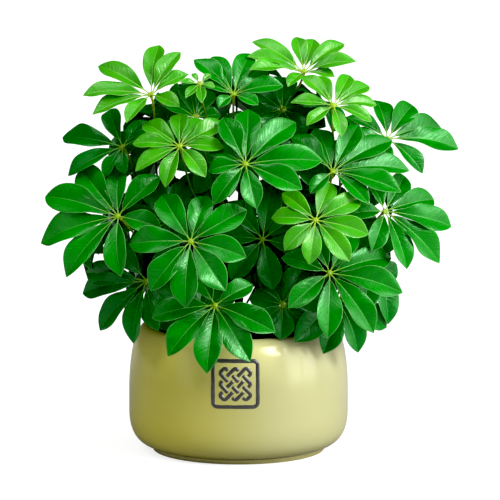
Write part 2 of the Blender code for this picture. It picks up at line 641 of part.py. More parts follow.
class LeafBuilder:
    """Places one leaf's leaflets and stalk clear of everything there, and makes its mesh."""

    def __init__(self, name, leaf, plan):
        self.name = name
        self.leaf = leaf
        self.hub = leaf.place()
        self.normal = leaf.normal()
        self.plan = plan
        self.leaflets = []
        self.outer_blades = Plan()
        self.stalk = []
        self.plan.add(self.hub_ball(), name)

    def hub_ball(self):
        """A rough ball round the hub."""
        axes = [Vector(axis) * sign for axis in ((1, 0, 0), (0, 1, 0), (0, 0, 1)) for sign in (1, -1)]
        mesh = Mesh()
        mesh.add([self.hub + axis * HUB_ROOM for axis in axes])
        mesh.faces = [(x, y, z) for x in (0, 1) for y in (2, 3) for z in (4, 5)]
        return mesh

    def place_leaflets(self):
        """Sorts the leaflets round the hub and bends each one clear."""
        across = self.normal.cross(Vector((0, 0, 1)))
        if across.length < 0.1:
            across = Vector((1, 0, 0))
        across.normalize()
        self.across = across
        self.ahead = self.normal.cross(across)
        chords = sorted(self.leaf.chords(), key=self.angle_of)
        angles = [self.angle_of(chord) for chord in chords]
        count = len(chords)
        gaps = [(angles[(k + 1) % count] - angles[k]) % (2 * math.pi) for k in range(count)]
        self.corners = [angles[k] + gaps[k] / 2 for k in range(count)]
        longest = max(chord.length for chord in chords)
        for k, chord in enumerate(chords):
            flat = self.in_plane(angles[k])
            root = self.hub + flat * (HUB_RADIUS * ROOT_SHARE)
            chord = chord - flat * HUB_RADIUS
            up = (self.normal - chord * (self.normal.dot(chord) / chord.length_squared)).normalized()
            fullness = NARROWEST_SHARE + (1 - NARROWEST_SHARE) * chord.length / longest
            half = self.leaf.width / 2 * MM * fullness
            room = (min(gaps[k] / 2, WIDEST_ROOM), min(gaps[k - 1] / 2, WIDEST_ROOM))
            straight = Leaflet(root, chord, up, half, room)
            self.leaflets.append(self.clear_leaflet(straight))

    def angle_of(self, vector):
        """Angle of a vector round the leaf's normal."""
        return math.atan2(vector.dot(self.ahead), vector.dot(self.across))

    def in_plane(self, angle):
        """Unit vector in the hub's plane at an angle."""
        return self.across * math.cos(angle) + self.ahead * math.sin(angle)

    def clear_leaflet(self, straight):
        """The first of the bends that clears everything placed so far."""
        rows = self.leaf.rows
        for bend in BENDS:
            leaflet = straight.bent(*bend)
            whole = lone_blade(leaflet, rows, CLEARANCE, NEAR_HUB)
            outer = lone_blade(leaflet, rows, CLEARANCE, rows[0] * OUTER_SHARE)
            if self.plan.is_clear(whole, own=(self.name,)) and self.outer_blades.is_clear(outer):
                break
        else:
            print("no clear bend", self.name)
            leaflet = straight
        self.plan.add(lone_blade(leaflet, rows, 0, NEAR_HUB), self.name)
        self.outer_blades.add(lone_blade(leaflet, rows, 0, rows[0] * OUTER_SHARE), self.name)
        return leaflet

    def route_stalk(self, stems):
        """Runs the leaf stalk from a stem to the hub by the first route that is clear."""
        end = self.hub - self.normal * HUB_HEIGHT
        usual = self.hub.z - USUAL_DROP
        near = sorted(stems, key=lambda stem: (stem.at(usual)[0] - self.hub).length)
        for stem, drop, bow, sideways in itertools.product(near, DROPS, BOWS, SIDEWAYS):
            height = min(max(self.hub.z - drop * MM, LOWEST_FOOT), stem.points[-1].z - BELOW_STEM_TOP)
            route = self.stalk_route(stem, height, end, bow, sideways)
            if self.stalk_is_clear(route, stem):
                self.finish_stalk(route)
                return
        print("no clear stalk", self.name)
        self.finish_stalk(self.stalk_route(near[0], usual, end, USUAL_BOW, 0))

    def stalk_is_clear(self, route, stem):
        """Whether a route crosses nothing, also not its own stem or leaflets further on."""
        whole, outer = Mesh(), Mesh()
        self.stalk_rings(whole, route, PETIOLE_RADIUS + CLEARANCE)
        self.stalk_rings(outer, route[1:], PETIOLE_RADIUS + CLEARANCE)
        return (self.plan.is_clear(whole, own=(stem.name, self.name))
                and self.plan.is_clear(outer, own=(self.name,)) and self.outer_blades.is_clear(whole))

    def finish_stalk(self, route):
        """Keeps the chosen route and the solid it fills."""
        self.stalk = route
        mesh = Mesh()
        self.stalk_rings(mesh, route, PETIOLE_RADIUS)
        self.plan.add(mesh, self.name)

    def stalk_route(self, stem, height, end, bow, sideways):
        """Points and directions along a curve from a stem's side to the back of the hub."""
        middle, radius, along = stem.at(height)
        out = end - middle
        out = (out - along * out.dot(along)).normalized()
        out = Matrix.Rotation(math.radians(sideways), 3, along) @ out
        foot = middle + out * (radius + GAP)
        span = (end - foot).length
        first = foot + out * (bow * span)
        second = end - self.normal * (bow * span)
        route = []
        for step in range(PETIOLE_STEPS + 1):
            t = step / PETIOLE_STEPS
            point = (foot * (1 - t) ** 3 + first * (3 * t * (1 - t) ** 2)
                     + second * (3 * t * t * (1 - t)) + end * t ** 3)
            along = ((first - foot) * (1 - t) ** 2 + (second - first) * (2 * t * (1 - t))
                     + (end - second) * t ** 2)
            route.append((point, along.normalized()))
        return route

    def stalk_rings(self, mesh, route, radius):
        """Adds the stalk's tube, open at the hub, and returns its last ring."""
        across = route[0][1].orthogonal().normalized()
        turns = [2 * math.pi * k / PETIOLE_SIDES for k in range(PETIOLE_SIDES)]
        rings = []
        for point, along in route:
            across = (across - along * across.dot(along)).normalized()
            other = along.cross(across)
            rings.append(mesh.add([point + (across * math.cos(a) + other * math.sin(a)) * radius
                                   for a in turns]))
        close_tube(mesh, rings, cap_top=False)
        return rings[-1]

    def make(self):
        """Builds the leaf's closed mesh."""
        mesh = Mesh()
        count = len(self.leaflets)
        rise = self.normal * (HUB_HEIGHT / 2)
        rim = [self.hub + self.in_plane(angle) * HUB_RADIUS for angle in self.corners]
        top = mesh.add([point + rise for point in rim])
        low = mesh.add([point - rise for point in rim])
        crown = mesh.add([self.hub + rise * HUB_CROWN])[0]
        for k in range(count):
            mesh.faces.append((top[k - 1], top[k], crown))
            root = (top[k - 1], top[k], low[k - 1], low[k])
            add_blade(mesh, self.leaflets[k], self.leaf.rows, root)
        ring = self.stalk_rings(mesh, self.stalk, PETIOLE_RADIUS)
        ring_angles = [self.angle_of(mesh.points[k] - self.hub) for k in ring]
        ring, ring_angles = in_order(ring, ring_angles)
        low, low_angles = in_order(low, [self.angle_of(mesh.points[k] - self.hub) for k in low])
        mesh.zip_rings(ring, ring_angles, low, low_angles)
        return mesh.object(self.name, self.leaf.colour, smooth_angle=60)


def in_order(numbers, angles):
    """Numbers and angles sorted by angle."""
    pairs = sorted(zip(angles, numbers))
    return [number for _, number in pairs], [angle for angle, _ in pairs]


def main():
    """Clears the scene and builds the potted plant."""
    for old in list(bpy.data.objects):
        bpy.data.objects.remove(old)
    plan = Plan()
    stems = plan_stems()
    for made in (make_saucer(), make_pot(), make_soil(stems)):
        mesh = Mesh()
        mesh.points = [vertex.co.copy() for vertex in made.data.vertices]
        mesh.faces = [tuple(face.vertices) for face in made.data.polygons]
        plan.add(mesh, made.name)
    for stem in stems:
        mesh = Mesh()
        stem.rings(mesh)
        plan.add(mesh, stem.name)
        mesh.object(stem.name, (0.09, 0.10, 0.03), roughness=0.8)
    builders = [LeafBuilder(f"leaf_{number:02d}", leaf, plan)
                for number, leaf in enumerate(all_leaves(), start=1)]
    for builder in builders:
        builder.place_leaflets()
    for builder in builders:
        builder.route_stalk(stems)
        builder.make()


main()
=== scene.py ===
"""Looks of a bushy umbrella plant in a squat glazed pot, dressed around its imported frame.

Each solid of the frame is replaced by a finer piece of the same form. A leaflet gets a fold along
its pale midrib, pinnate veins, thin pale margins and a satin skin. The pot and its saucer get a
smooth glazed turn, and the pot carries a raised woven knot in dark enamel. The soil gets crumbs and
grit, and the stems get bark. Lengths are metres unless a name or docstring says millimetres. +Z is
up, and the front of the plant faces -Y.
"""

from __future__ import annotations

import itertools
import json
import logging
import math
import random
from dataclasses import dataclass
from enum import Enum

import bpy
import numpy as np
from mathutils import Matrix, Vector, noise
from mathutils.kdtree import KDTree

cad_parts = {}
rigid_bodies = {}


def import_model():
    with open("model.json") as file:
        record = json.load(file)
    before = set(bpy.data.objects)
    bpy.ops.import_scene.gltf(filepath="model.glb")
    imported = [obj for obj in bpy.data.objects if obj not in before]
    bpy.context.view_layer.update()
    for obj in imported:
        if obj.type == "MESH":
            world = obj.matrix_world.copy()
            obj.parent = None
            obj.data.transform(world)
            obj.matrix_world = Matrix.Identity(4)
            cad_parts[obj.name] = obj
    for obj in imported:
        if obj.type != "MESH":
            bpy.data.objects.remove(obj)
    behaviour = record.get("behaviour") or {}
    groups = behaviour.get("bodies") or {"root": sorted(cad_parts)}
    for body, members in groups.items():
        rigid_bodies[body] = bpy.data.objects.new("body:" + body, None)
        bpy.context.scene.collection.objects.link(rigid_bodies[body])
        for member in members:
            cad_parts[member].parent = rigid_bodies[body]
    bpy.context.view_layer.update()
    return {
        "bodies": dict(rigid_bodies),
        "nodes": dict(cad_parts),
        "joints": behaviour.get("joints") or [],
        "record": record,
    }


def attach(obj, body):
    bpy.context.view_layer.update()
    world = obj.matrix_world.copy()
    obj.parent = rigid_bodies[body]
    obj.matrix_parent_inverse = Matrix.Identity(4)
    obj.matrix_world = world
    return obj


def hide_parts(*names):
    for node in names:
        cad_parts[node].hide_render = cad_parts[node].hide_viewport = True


LOG = logging.getLogger("umbrella_plant")
BODY = "root"
MM = 0.001
FULL_TURN = 2 * math.pi

# Sizes shared with the frame
GAP = 0.3 * MM
SOIL_EDGE_HEIGHT = 111 * MM
SOIL_CROWN = 4 * MM
STEM_HOLE_DEPTH = 52 * MM
PETIOLE_RADIUS = 1.25 * MM
PETIOLE_STEPS = 3
HUB_RADIUS = 3.2 * MM
HUB_HEIGHT = 2.4 * MM
FRAME_BLADE_THICKNESS = 0.75 * MM
GUTTER = math.radians(15)      # how far each half blade rises from the midrib
ARCH = 0.09                    # rise of a leaflet's back over its chord, as a share of its length
WIDEST = 0.60                  # where a blade is widest, as a share of the blade's length
NARROWEST_SHARE = 0.35         # of the leaf's full width, for the shortest leaflets
MATCH = 0.2 * MM               # how near to the frame's points a guess has to come

# The photograph looks down on the plant by this angle, from far away
VIEW_TILT = math.radians(10)
PICTURE_UP = Vector((0, math.sin(VIEW_TILT), math.cos(VIEW_TILT)))
TO_VIEWER = Vector((0, -math.cos(VIEW_TILT), math.sin(VIEW_TILT)))

# The bends and stalk routes that the frame's leaves choose from
BENDS = [(pitch, share) for share in (1.0, 0.86, 0.72)
         for pitch in (0, 5, -5, 10, -10, 15, -15, 21, -21, 27, -27)]
DROPS = (70, 85, 55, 100, 40, 115, 25, 130, 10, 150)
BOWS = (0.35, 0.5, 0.22, 0.65, 0.1)
SIDEWAYS = (0, 25, -25, 50, -50, 75, -75, 100, -100)

Colour = tuple[float, float, float]
Pair = tuple[float, float]
Place = tuple[float, float, float]


# Mesh and material helpers


class Island:
    """A rectangle of the unit square that a patch of skin is unwrapped into."""

    MARGIN = 0.004

    def __init__(self, left: float, bottom: float, right: float, top: float) -> None:
        """Keeps the rectangle, less a thin margin.

        Args:
            left: Left side, 0 to 1.
            bottom: Lower side, 0 to 1.
            right: Right side, 0 to 1.
            top: Upper side, 0 to 1.
        """
        self.low = (left + self.MARGIN, bottom + self.MARGIN)
        self.size = (right - left - 2 * self.MARGIN, top - bottom - 2 * self.MARGIN)

    def spread(self, across: np.ndarray, along: np.ndarray) -> np.ndarray:
        """Maps shares across and along the patch to places in the rectangle.

        Args:
            across: Shares from 0 to 1, in any shape.
            along: Shares from 0 to 1 that broadcast with across.

        Returns:
            The places, with one more axis of two.
        """
        across, along = np.broadcast_arrays(across, along)
        places = np.stack([across, along], -1)
        return np.array(self.low) + np.array(self.size) * places


class Skin:
    """Points, faces, unwrapped corners and point values on the way to one mesh."""

    BLADE = "blade"            # share along, millimetres across, millimetres from the margin
    GROWTH = "growth"          # a draw for the leaflet, a draw for the leaf, length in millimetres

    def __init__(self) -> None:
        """Starts with nothing."""
        self.count = 0
        self.points: list[np.ndarray] = []
        self.values: dict[str, list[np.ndarray]] = {self.BLADE: [], self.GROWTH: []}
        self.faces: list[tuple[int, ...]] = []
        self.corners: list[tuple[float, float]] = []
        self.slots: list[int] = []

    def add(self, points: np.ndarray, blade: np.ndarray | None = None,
            growth: np.ndarray | None = None) -> np.ndarray:
        """Adds a grid of points.

        Args:
            points: Places, with a last axis of three.
            blade: Values that broadcast with the points, or None for zeros.
            growth: Values that broadcast with the points, or None for zeros.

        Returns:
            The points' numbers, in the grid's shape.
        """
        shape = points.shape[:-1]
        size = int(np.prod(shape))
        self.points.append(points.reshape(-1, 3))
        for name, value in ((self.BLADE, blade), (self.GROWTH, growth)):
            filled = np.zeros(3) if value is None else value
            self.values[name].append(np.broadcast_to(filled, (*shape, 3)).reshape(-1, 3))
        numbers = np.arange(self.count, self.count + size).reshape(shape)
        self.count += size
        return numbers

    def patch(self, numbers: np.ndarray, unwrapped: np.ndarray, slot: int = 0,
              turned_over: bool = False) -> None:
        """Joins a grid of points with faces; corners that coincide leave a triangle.

        Args:
            numbers: Grid of point numbers.
            unwrapped: Grid of unwrapped places, with a last axis of two.
            slot: Material slot.
            turned_over: Whether the faces look the other way.
        """
        around = ((0, 0), (1, 0), (1, 1), (0, 1))
        if turned_over:
            around = around[::-1]
        rows, columns = numbers.shape[0] - 1, numbers.shape[1] - 1
        cuts = [(slice(i, rows + i), slice(j, columns + j)) for i, j in around]
        ids = np.stack([numbers[cut] for cut in cuts], -1).reshape(-1, 4)
        uvs = np.stack([unwrapped[cut] for cut in cuts], -2).reshape(-1, 4, 2)
        for face, places in zip(ids.tolist(), uvs.tolist()):
            kept = [k for k in range(4) if face[k] != face[k - 1]]
            if len(kept) < 3:
                continue
            self.faces.append(tuple(face[k] for k in kept))
            self.corners.extend(tuple(places[k]) for k in kept)
            self.slots.append(slot)

    def wrap(self, numbers: np.ndarray, island: Island, slot: int = 0,
             turned_over: bool = False) -> None:
        """Joins a grid of points with faces that fill an island evenly.

        Args:
            numbers: Grid of point numbers.
            island: Where the grid is unwrapped.
            slot: Material slot.
            turned_over: Whether the faces look the other way.
        """
        along = np.linspace(0, 1, numbers.shape[0])[:, None]
        across = np.linspace(0, 1, numbers.shape[1])[None, :]
        self.patch(numbers, island.spread(across, along), slot, turned_over)

    def tube(self, rings: np.ndarray, island: Island, slot: int = 0,
             blade: np.ndarray | None = None, growth: np.ndarray | None = None) -> None:
        """Adds a closed tube through rings that run anticlockwise seen from the far end.

        Args:
            rings: Places, one row for each ring.
            island: Where the tube is unwrapped.
            slot: Material slot.
            blade: Values that broadcast with the rings.
            growth: Values that broadcast with the rings.
        """
        ends = [np.repeat(rings[k].mean(0)[None, None], rings.shape[1], 1) for k in (0, -1)]
        whole = np.concatenate([ends[0], rings, ends[1]])
        if blade is not None:
            blade = np.concatenate([blade[:1], blade, blade[-1:]])
        numbers = self.add(whole, blade, growth)
        numbers[0], numbers[-1] = numbers[0, 0], numbers[-1, 0]
        numbers = np.concatenate([numbers, numbers[:, :1]], 1)
        self.wrap(numbers, island, slot, turned_over=True)

    def piece(self, name: str, materials: list[bpy.types.Material], slot: str,
              replaced: str | None = None) -> bpy.types.Object:
        """Makes the object, which rides on the plant's body.

        Args:
            name: The piece's name.
            materials: Materials, in the order of the slots.
            slot: The record's material slot; not used.
            replaced: The frame's node that the piece stands for.

        Returns:
            The new object.
        """
        mesh = bpy.data.meshes.new(name)
        places = np.concatenate(self.points)
        mesh.from_pydata(places.tolist(), [], self.faces)
        for material in materials:
            mesh.materials.append(material)
        mesh.polygons.foreach_set("material_index", self.slots)
        mesh.shade_smooth()
        layer = mesh.uv_layers.new(name="OFBake")
        layer.data.foreach_set("uv", np.array(self.corners, np.float32).ravel())
        for label, values in self.values.items():
            store = mesh.attributes.new(label, "FLOAT_VECTOR", "POINT")
            store.data.foreach_set("vector", np.concatenate(values).astype(np.float32).ravel())
        mesh.update()
        made = bpy.data.objects.new(name, mesh)
        bpy.context.scene.collection.objects.link(made)
        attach(made, BODY)
        if replaced:
            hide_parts(replaced)
        LOG.info("%s: %d faces", name, len(self.faces))
        return made


class Paint:
    """A node material, with short ways to add nodes to it."""

    def __init__(self, name: str) -> None:
        """Starts a Principled material.

        Args:
            name: The material's name.
        """
        self.material = bpy.data.materials.new(name)
        self.material.use_nodes = True
        self.tree = self.material.node_tree
        self.shader = self.tree.nodes["Principled BSDF"]

    def feed(self, socket: bpy.types.NodeSocket, value: object) -> None:
        """Sets an input to a number or colour, or links another node's output to it.

        Args:
            socket: The input.
            value: A socket, a number, a vector or a colour of three.
        """
        if isinstance(value, bpy.types.NodeSocket):
            self.tree.links.new(value, socket)
        elif socket.type == "RGBA":
            socket.default_value = (*value, 1.0)
        else:
            socket.default_value = value

    def add(self, kind: str, inputs: dict, **settings: object) -> bpy.types.Node:
        """Adds a node.

        Args:
            kind: The node's type.
            inputs: Values or sockets by the input's name or number.
            **settings: The node's own settings.

        Returns:
            The new node.
        """
        node = self.tree.nodes.new(kind)
        for name, value in settings.items():
            setattr(node, name, value)
        for name, value in inputs.items():
            self.feed(node.inputs[name], value)
        return node

    def sum(self, operation: str, *terms: object) -> bpy.types.NodeSocket:
        """The result of a Math node.

        Args:
            operation: The node's operation.
            *terms: Its inputs in order.

        Returns:
            The output socket.
        """
        return self.add("ShaderNodeMath", dict(enumerate(terms)), operation=operation).outputs[0]

    def mix(self, share: object, first: object, second: object) -> bpy.types.NodeSocket:
        """A colour between two others.

        Args:
            share: Share of the second colour.
            first: Colour at share 0.
            second: Colour at share 1.

        Returns:
            The output socket.
        """
        node = self.add("ShaderNodeMix", {}, data_type="RGBA")
        for number, value in ((0, share), (6, first), (7, second)):
            self.feed(node.inputs[number], value)
        return node.outputs[2]

    def slope(self, value: object, start: float, end: float, low: float = 0.0,
              high: float = 1.0) -> bpy.types.NodeSocket:
        """A smooth step from low to high as the value goes from start to end.

        Args:
            value: The number that is read.
            start: Where the step begins.
            end: Where the step ends; it may be under start.
            low: Result at the start.
            high: Result at the end.

        Returns:
            The output socket.
        """
        inputs = {"Value": value, "From Min": min(start, end), "From Max": max(start, end),
                  "To Min": low if start < end else high, "To Max": high if start < end else low}
        return self.add("ShaderNodeMapRange", inputs, interpolation_type="SMOOTHSTEP").outputs[0]

    def place(self) -> bpy.types.NodeSocket:
        """The point's place on the object, in metres."""
        return self.add("ShaderNodeTexCoord", {}).outputs["Object"]

    def cloud(self, scale: float, detail: float = 2.0,
              stretch: Place | None = None) -> bpy.types.NodeSocket:
        """Soft noise from 0 to 1 over the object.

        Args:
            scale: Lumps in a metre.
            detail: Octaves.
            stretch: Factors along X, Y and Z, or None.

        Returns:
            The output socket.
        """
        where = self.place()
        if stretch:
            where = self.add("ShaderNodeMapping", {"Vector": where, "Scale": stretch}).outputs[0]
        inputs = {"Vector": where, "Scale": scale, "Detail": detail}
        return self.add("ShaderNodeTexNoise", inputs).outputs[0]

    def patches(self, scale: float, detail: float, start: float, end: float, low: float = 0.0,
                high: float = 1.0, stretch: Place | None = None) -> bpy.types.NodeSocket:
        """Soft noise over the object with its contrast raised.

        Args:
            scale: Lumps in a metre.
            detail: Octaves.
            start: Noise where the result starts to change.
            end: Noise where the change is complete.
            low: Result under the start.
            high: Result over the end.
            stretch: Factors along X, Y and Z, or None.

        Returns:
            The output socket.
        """
        return self.slope(self.cloud(scale, detail, stretch), start, end, low, high)

    def over(self, colour: object, mask: object, strength: object,
             top: object) -> bpy.types.NodeSocket:
        """A colour with part of another one laid over it.

        Args:
            colour: The colour below.
            mask: Where the other colour lies, from 0 to 1.
            strength: The other colour's share where the mask is 1.
            top: The colour on top.

        Returns:
            The output socket.
        """
        return self.mix(self.sum("MULTIPLY", mask, strength), colour, top)

    def values(self, name: str) -> list[bpy.types.NodeSocket]:
        """The three parts of a point value stored on the mesh."""
        stored = self.add("ShaderNodeAttribute", {}, attribute_name=name).outputs["Vector"]
        return list(self.add("ShaderNodeSeparateXYZ", {0: stored}).outputs)

    def finish(self, colour: object, roughness: object, height: object = None,
               depth: float = 0.0, **constants: object) -> bpy.types.Material:
        """Feeds the shader.

        Args:
            colour: Base colour.
            roughness: Roughness.
            height: Relief from 0 to 1, or None.
            depth: The relief's depth in metres.
            **constants: Other inputs of the shader, with _ for a space.

        Returns:
            The material.
        """
        self.feed(self.shader.inputs["Base Color"], colour)
        self.feed(self.shader.inputs["Roughness"], roughness)
        for name, value in constants.items():
            self.feed(self.shader.inputs[name.replace("_", " ")], value)
        if height is not None:
            relief = self.add("ShaderNodeBump", {"Height": height, "Distance": depth})
            self.feed(self.shader.inputs["Normal"], relief.outputs[0])
        return self.material


def smooth_step(low: float, high: float, value: np.ndarray) -> np.ndarray:
    """A smooth step from 0 at low to 1 at high."""
    share = np.clip((value - low) / (high - low), 0, 1)
    return share * share * (3 - 2 * share)


def unit(vectors: np.ndarray) -> np.ndarray:
    """The vectors at length one."""
    return vectors / np.linalg.norm(vectors, axis=-1, keepdims=True)


def scaled(colour: Colour, factor: float) -> Colour:
    """A colour made darker or lighter by a factor."""
    return tuple(factor * part for part in colour)


def circle(count: int) -> np.ndarray:
    """Angles of points that stand evenly round a circle."""
    return np.arange(count) * FULL_TURN / count


def first_value(values: np.ndarray) -> np.ndarray:
    """Point values of three parts, with zeros for the last two."""
    return np.stack(np.broadcast_arrays(values, 0, 0), -1)


def run_length(points: np.ndarray) -> np.ndarray:
    """A line's length up to each of its points."""
    steps = np.linalg.norm(np.diff(points, axis=0), axis=1)
    return np.concatenate([[0], np.cumsum(steps)])


def facing_vector(around: float, up: float) -> Vector:
    """A unit vector in a direction.

    Args:
        around: Degrees round from the front, to the right.
        up: Degrees up.

    Returns:
        The vector.
    """
    around, up = math.radians(around), math.radians(up)
    level = math.cos(up)
    return Vector((math.sin(around) * level, -math.cos(around) * level, math.sin(up)))


def sweep(line: np.ndarray, radii: np.ndarray, sides: int) -> np.ndarray:
    """Rings of points round a line.

    Args:
        line: Points of the line.
        radii: Radius at each point, or a grid of them with one for each side.
        sides: Points in a ring.

    Returns:
        The rings, anticlockwise seen from the line's far end.
    """
    along = unit(np.gradient(line, axis=0))
    across = np.array(Vector(along[0]).orthogonal().normalized())
    turns = circle(sides)
    rings = []
    for point, ahead, radius in zip(line, along, radii):
        across = unit(across - ahead * across.dot(ahead))
        other = np.cross(ahead, across)
        spokes = np.outer(np.cos(turns), across) + np.outer(np.sin(turns), other)
        rings.append(point + spokes * np.reshape(radius, (-1, 1)))
    return np.array(rings)


# Finishes


class Age(Enum):
    """How old a leaf is, by the record's slot for its finish; SHADED is a darker copy, painted
    shade.
    """

    YOUNG = "young_leaf"
    MATURE = "mature_leaf"
    # painted shade: the darker finish for leaves in the bush's shade
    SHADED = "deep_leaf"


@dataclass(frozen=True)
class LeafFinish:
    """The three skins of a leaf: upper side, underside, and stalk with hub."""

    VEIN_LEAN = -0.75              # how far a side vein leans to the tip over its run outwards
    VEIN_CURVE = -0.015            # how much it curves on the way, per millimetre
    VEIN_WOBBLE = 4.0              # millimetres
    STREAK_SCALES = (0.42, 0.09)   # streaks in a millimetre, along the leaflet and across it
    UPPER_RELIEF = 0.16 * MM
    UNDER_RELIEF = 0.12 * MM
    STALK_RELIEF = 0.10 * MM

    age: Age
    light: Colour
    dark: Colour
    vein: Colour
    rib: Colour
    rim: Colour
    under: Colour
    stalk: Colour
    hub: Colour
    shine: Colour = (0.46, 1.0, 0.52)
    vein_gap: float = 3.3          # millimetres between side veins
    roughness: Pair = (0.22, 0.36)

    def materials(self) -> list[bpy.types.Material]:
        """The materials in the order of a leaf's slots."""
        return [self.upper(), self.underside(), self.stem()]

    def veins(self, paint: Paint) -> tuple[bpy.types.NodeSocket, ...]:
        """Masks drawn from a leaflet's own lengths.

        Args:
            paint: The material that gets the nodes.

        Returns:
            Closeness to a side vein, uneven streaks that run along the veins, closeness to the
            midrib and to the margin, and how far the point lies out on the blade.
        """
        along, across, margin = paint.values(Skin.BLADE)
        draw, tint, length = paint.values(Skin.GROWTH)
        distance = paint.sum("ABSOLUTE", across)
        run = paint.sum("MULTIPLY", along, length)
        run = paint.sum("MULTIPLY_ADD", distance, self.VEIN_LEAN, run)
        bend = paint.sum("MULTIPLY", distance, distance)
        run = paint.sum("MULTIPLY_ADD", bend, self.VEIN_CURVE, run)
        run = paint.sum("MULTIPLY_ADD", paint.cloud(110, 2), self.VEIN_WOBBLE, run)
        half = paint.sum("MULTIPLY", paint.sum("SIGN", across), self.vein_gap / 4)
        run = paint.sum("ADD", run, half)
        of_its_own = paint.sum("MULTIPLY_ADD", draw, 31.0, paint.sum("MULTIPLY", tint, 17.0))
        where = paint.add("ShaderNodeCombineXYZ", {
            0: paint.sum("MULTIPLY", run, self.STREAK_SCALES[0]),
            1: paint.sum("MULTIPLY", across, self.STREAK_SCALES[1]), 2: of_its_own}).outputs[0]
        inputs = {"Vector": where, "Scale": 1.0, "Detail": 3.0}
        streaks = paint.add("ShaderNodeTexNoise", inputs).outputs[0]
        near = paint.sum("PINGPONG", run, self.vein_gap / 2)
        out = paint.slope(along, 0.0, 0.035)
        broken = paint.slope(streaks, 0.38, 0.62)
        vein = paint.sum("MULTIPLY", paint.slope(near, 0.34, 0.0), broken)
        rib_reach = paint.slope(along, 0.1, 1.0, 0.46, 0.16)
        rib = paint.slope(paint.sum("DIVIDE", distance, rib_reach), 1.0, 0.35)
        rim = paint.slope(margin, 0.62, 0.20)
        return vein, streaks, rib, rim, out

    def upper(self) -> bpy.types.Material:
        """The satin upper side, with faint sunken side veins, a pale midrib and painted shade
        towards each leaflet's base.

        Returns:
            The material.
        """
        paint = Paint(f"{self.age.value}_upper")
        vein, streaks, rib, rim, out = self.veins(paint)
        draw, tint, _ = paint.values(Skin.GROWTH)
        along, _, _ = paint.values(Skin.BLADE)
        patches = paint.patches(48, 3, 0.34, 0.66)
        streak = paint.slope(streaks, 0.30, 0.70)
        tone = paint.sum("MULTIPLY_ADD", streak, 0.45, paint.sum("MULTIPLY", patches, 0.55))
        colour = paint.mix(tone, self.dark, self.light)
        old_tone_and_base_shade = scaled(self.dark, 0.55)
        colour = paint.over(colour, draw, 0.5, old_tone_and_base_shade)
        colour = paint.over(colour, tint, 0.65, self.light)
        # Painted shade: each leaflet darkens towards its base at the hub
        colour = paint.mix(paint.slope(along, 0.55, 0.05, 0.0, 0.70), colour, old_tone_and_base_shade)
        colour = paint.over(colour, paint.patches(900, 1, 0.62, 0.74), 0.06, self.vein)
        colour = paint.over(colour, vein, 0.20, self.vein)
        colour = paint.over(colour, rim, 0.50, self.rim)
        rib_colour = paint.mix(paint.slope(along, 0.05, 0.3), self.hub, self.rib)
        colour = paint.over(colour, rib, paint.slope(along, 0.12, 0.5, 1.0, 0.6), rib_colour)
        colour = paint.mix(out, self.hub, colour)
        height = paint.sum("MULTIPLY", streak, 0.9)
        for term, factor in ((paint.cloud(330, 3), 0.30), (vein, -0.25), (rib, -0.45)):
            height = paint.sum("MULTIPLY_ADD", term, factor, height)
        low, high = self.roughness
        roughness = paint.slope(streaks, 0.35, 0.65, high, low)
        return paint.finish(colour, roughness, height, self.UPPER_RELIEF,
                            Specular_IOR_Level=0.70, Specular_Tint=self.shine)

    def underside(self) -> bpy.types.Material:
        """The paler, duller underside, with raised veins.

        Returns:
            The material.
        """
        paint = Paint(f"{self.age.value}_under")
        vein, streaks, rib, rim, out = self.veins(paint)
        patches = paint.patches(45, 2, 0.3, 0.7)
        colour = paint.mix(patches, self.under, scaled(self.under, 1.25))
        colour = paint.over(colour, vein, 0.45, self.vein)
        colour = paint.over(colour, rim, 0.4, self.rim)
        colour = paint.over(colour, rib, 0.9, self.rib)
        colour = paint.mix(out, self.hub, colour)
        height = paint.sum("MULTIPLY_ADD", streaks, 0.7, paint.cloud(600, 2))
        roughness = paint.patches(260, 2, 0.3, 0.7, 0.50, 0.62)
        return paint.finish(colour, roughness, height, self.UNDER_RELIEF, Specular_IOR_Level=0.3)

    def stem(self) -> bpy.types.Material:
        """The leaf stalk, olive at its foot and yellow-green at the hub.

        Returns:
            The material.
        """
        paint = Paint(f"{self.age.value}_stalk")
        along, _, _ = paint.values(Skin.BLADE)
        foot = scaled(self.stalk, 0.45)
        colour = paint.mix(paint.slope(along, 0.0, 0.5), foot, self.stalk)
        colour = paint.mix(paint.slope(along, 0.72, 1.0), colour, self.hub)
        streak = paint.patches(500, 2, 0.35, 0.65, stretch=(1, 1, 0.15))
        colour = paint.over(colour, streak, 0.35, foot)
        roughness = paint.slope(streak, 0.0, 1.0, 0.38, 0.52)
        return paint.finish(colour, roughness, streak, self.STALK_RELIEF, Specular_IOR_Level=0.4)


LEAF_FINISHES = {
    Age.YOUNG: LeafFinish(
        Age.YOUNG, light=(0.070, 0.455, 0.010), dark=(0.009, 0.265, 0.004),
        vein=(0.22, 0.62, 0.09), rib=(0.36, 0.70, 0.12), rim=(0.44, 0.76, 0.22),
        under=(0.13, 0.42, 0.04), stalk=(0.04, 0.14, 0.008), hub=(0.34, 0.54, 0.015),
        shine=(0.78, 1.0, 0.66)),
    Age.MATURE: LeafFinish(
        Age.MATURE, light=(0.006, 0.270, 0.005), dark=(0.001, 0.125, 0.003),
        vein=(0.05, 0.42, 0.06), rib=(0.18, 0.56, 0.12), rim=(0.32, 0.68, 0.26),
        under=(0.04, 0.26, 0.04), stalk=(0.03, 0.11, 0.008), hub=(0.28, 0.48, 0.015)),
    # Painted shade: a darker copy of the leaf for leaves in the bush's shade
    Age.SHADED: LeafFinish(
        Age.SHADED, light=(0.004, 0.205, 0.009), dark=(0.001, 0.110, 0.004),
        vein=(0.03, 0.30, 0.06), rib=(0.10, 0.40, 0.08), rim=(0.16, 0.46, 0.15),
        under=(0.02, 0.17, 0.03), stalk=(0.025, 0.085, 0.008), hub=(0.18, 0.36, 0.015)),
}


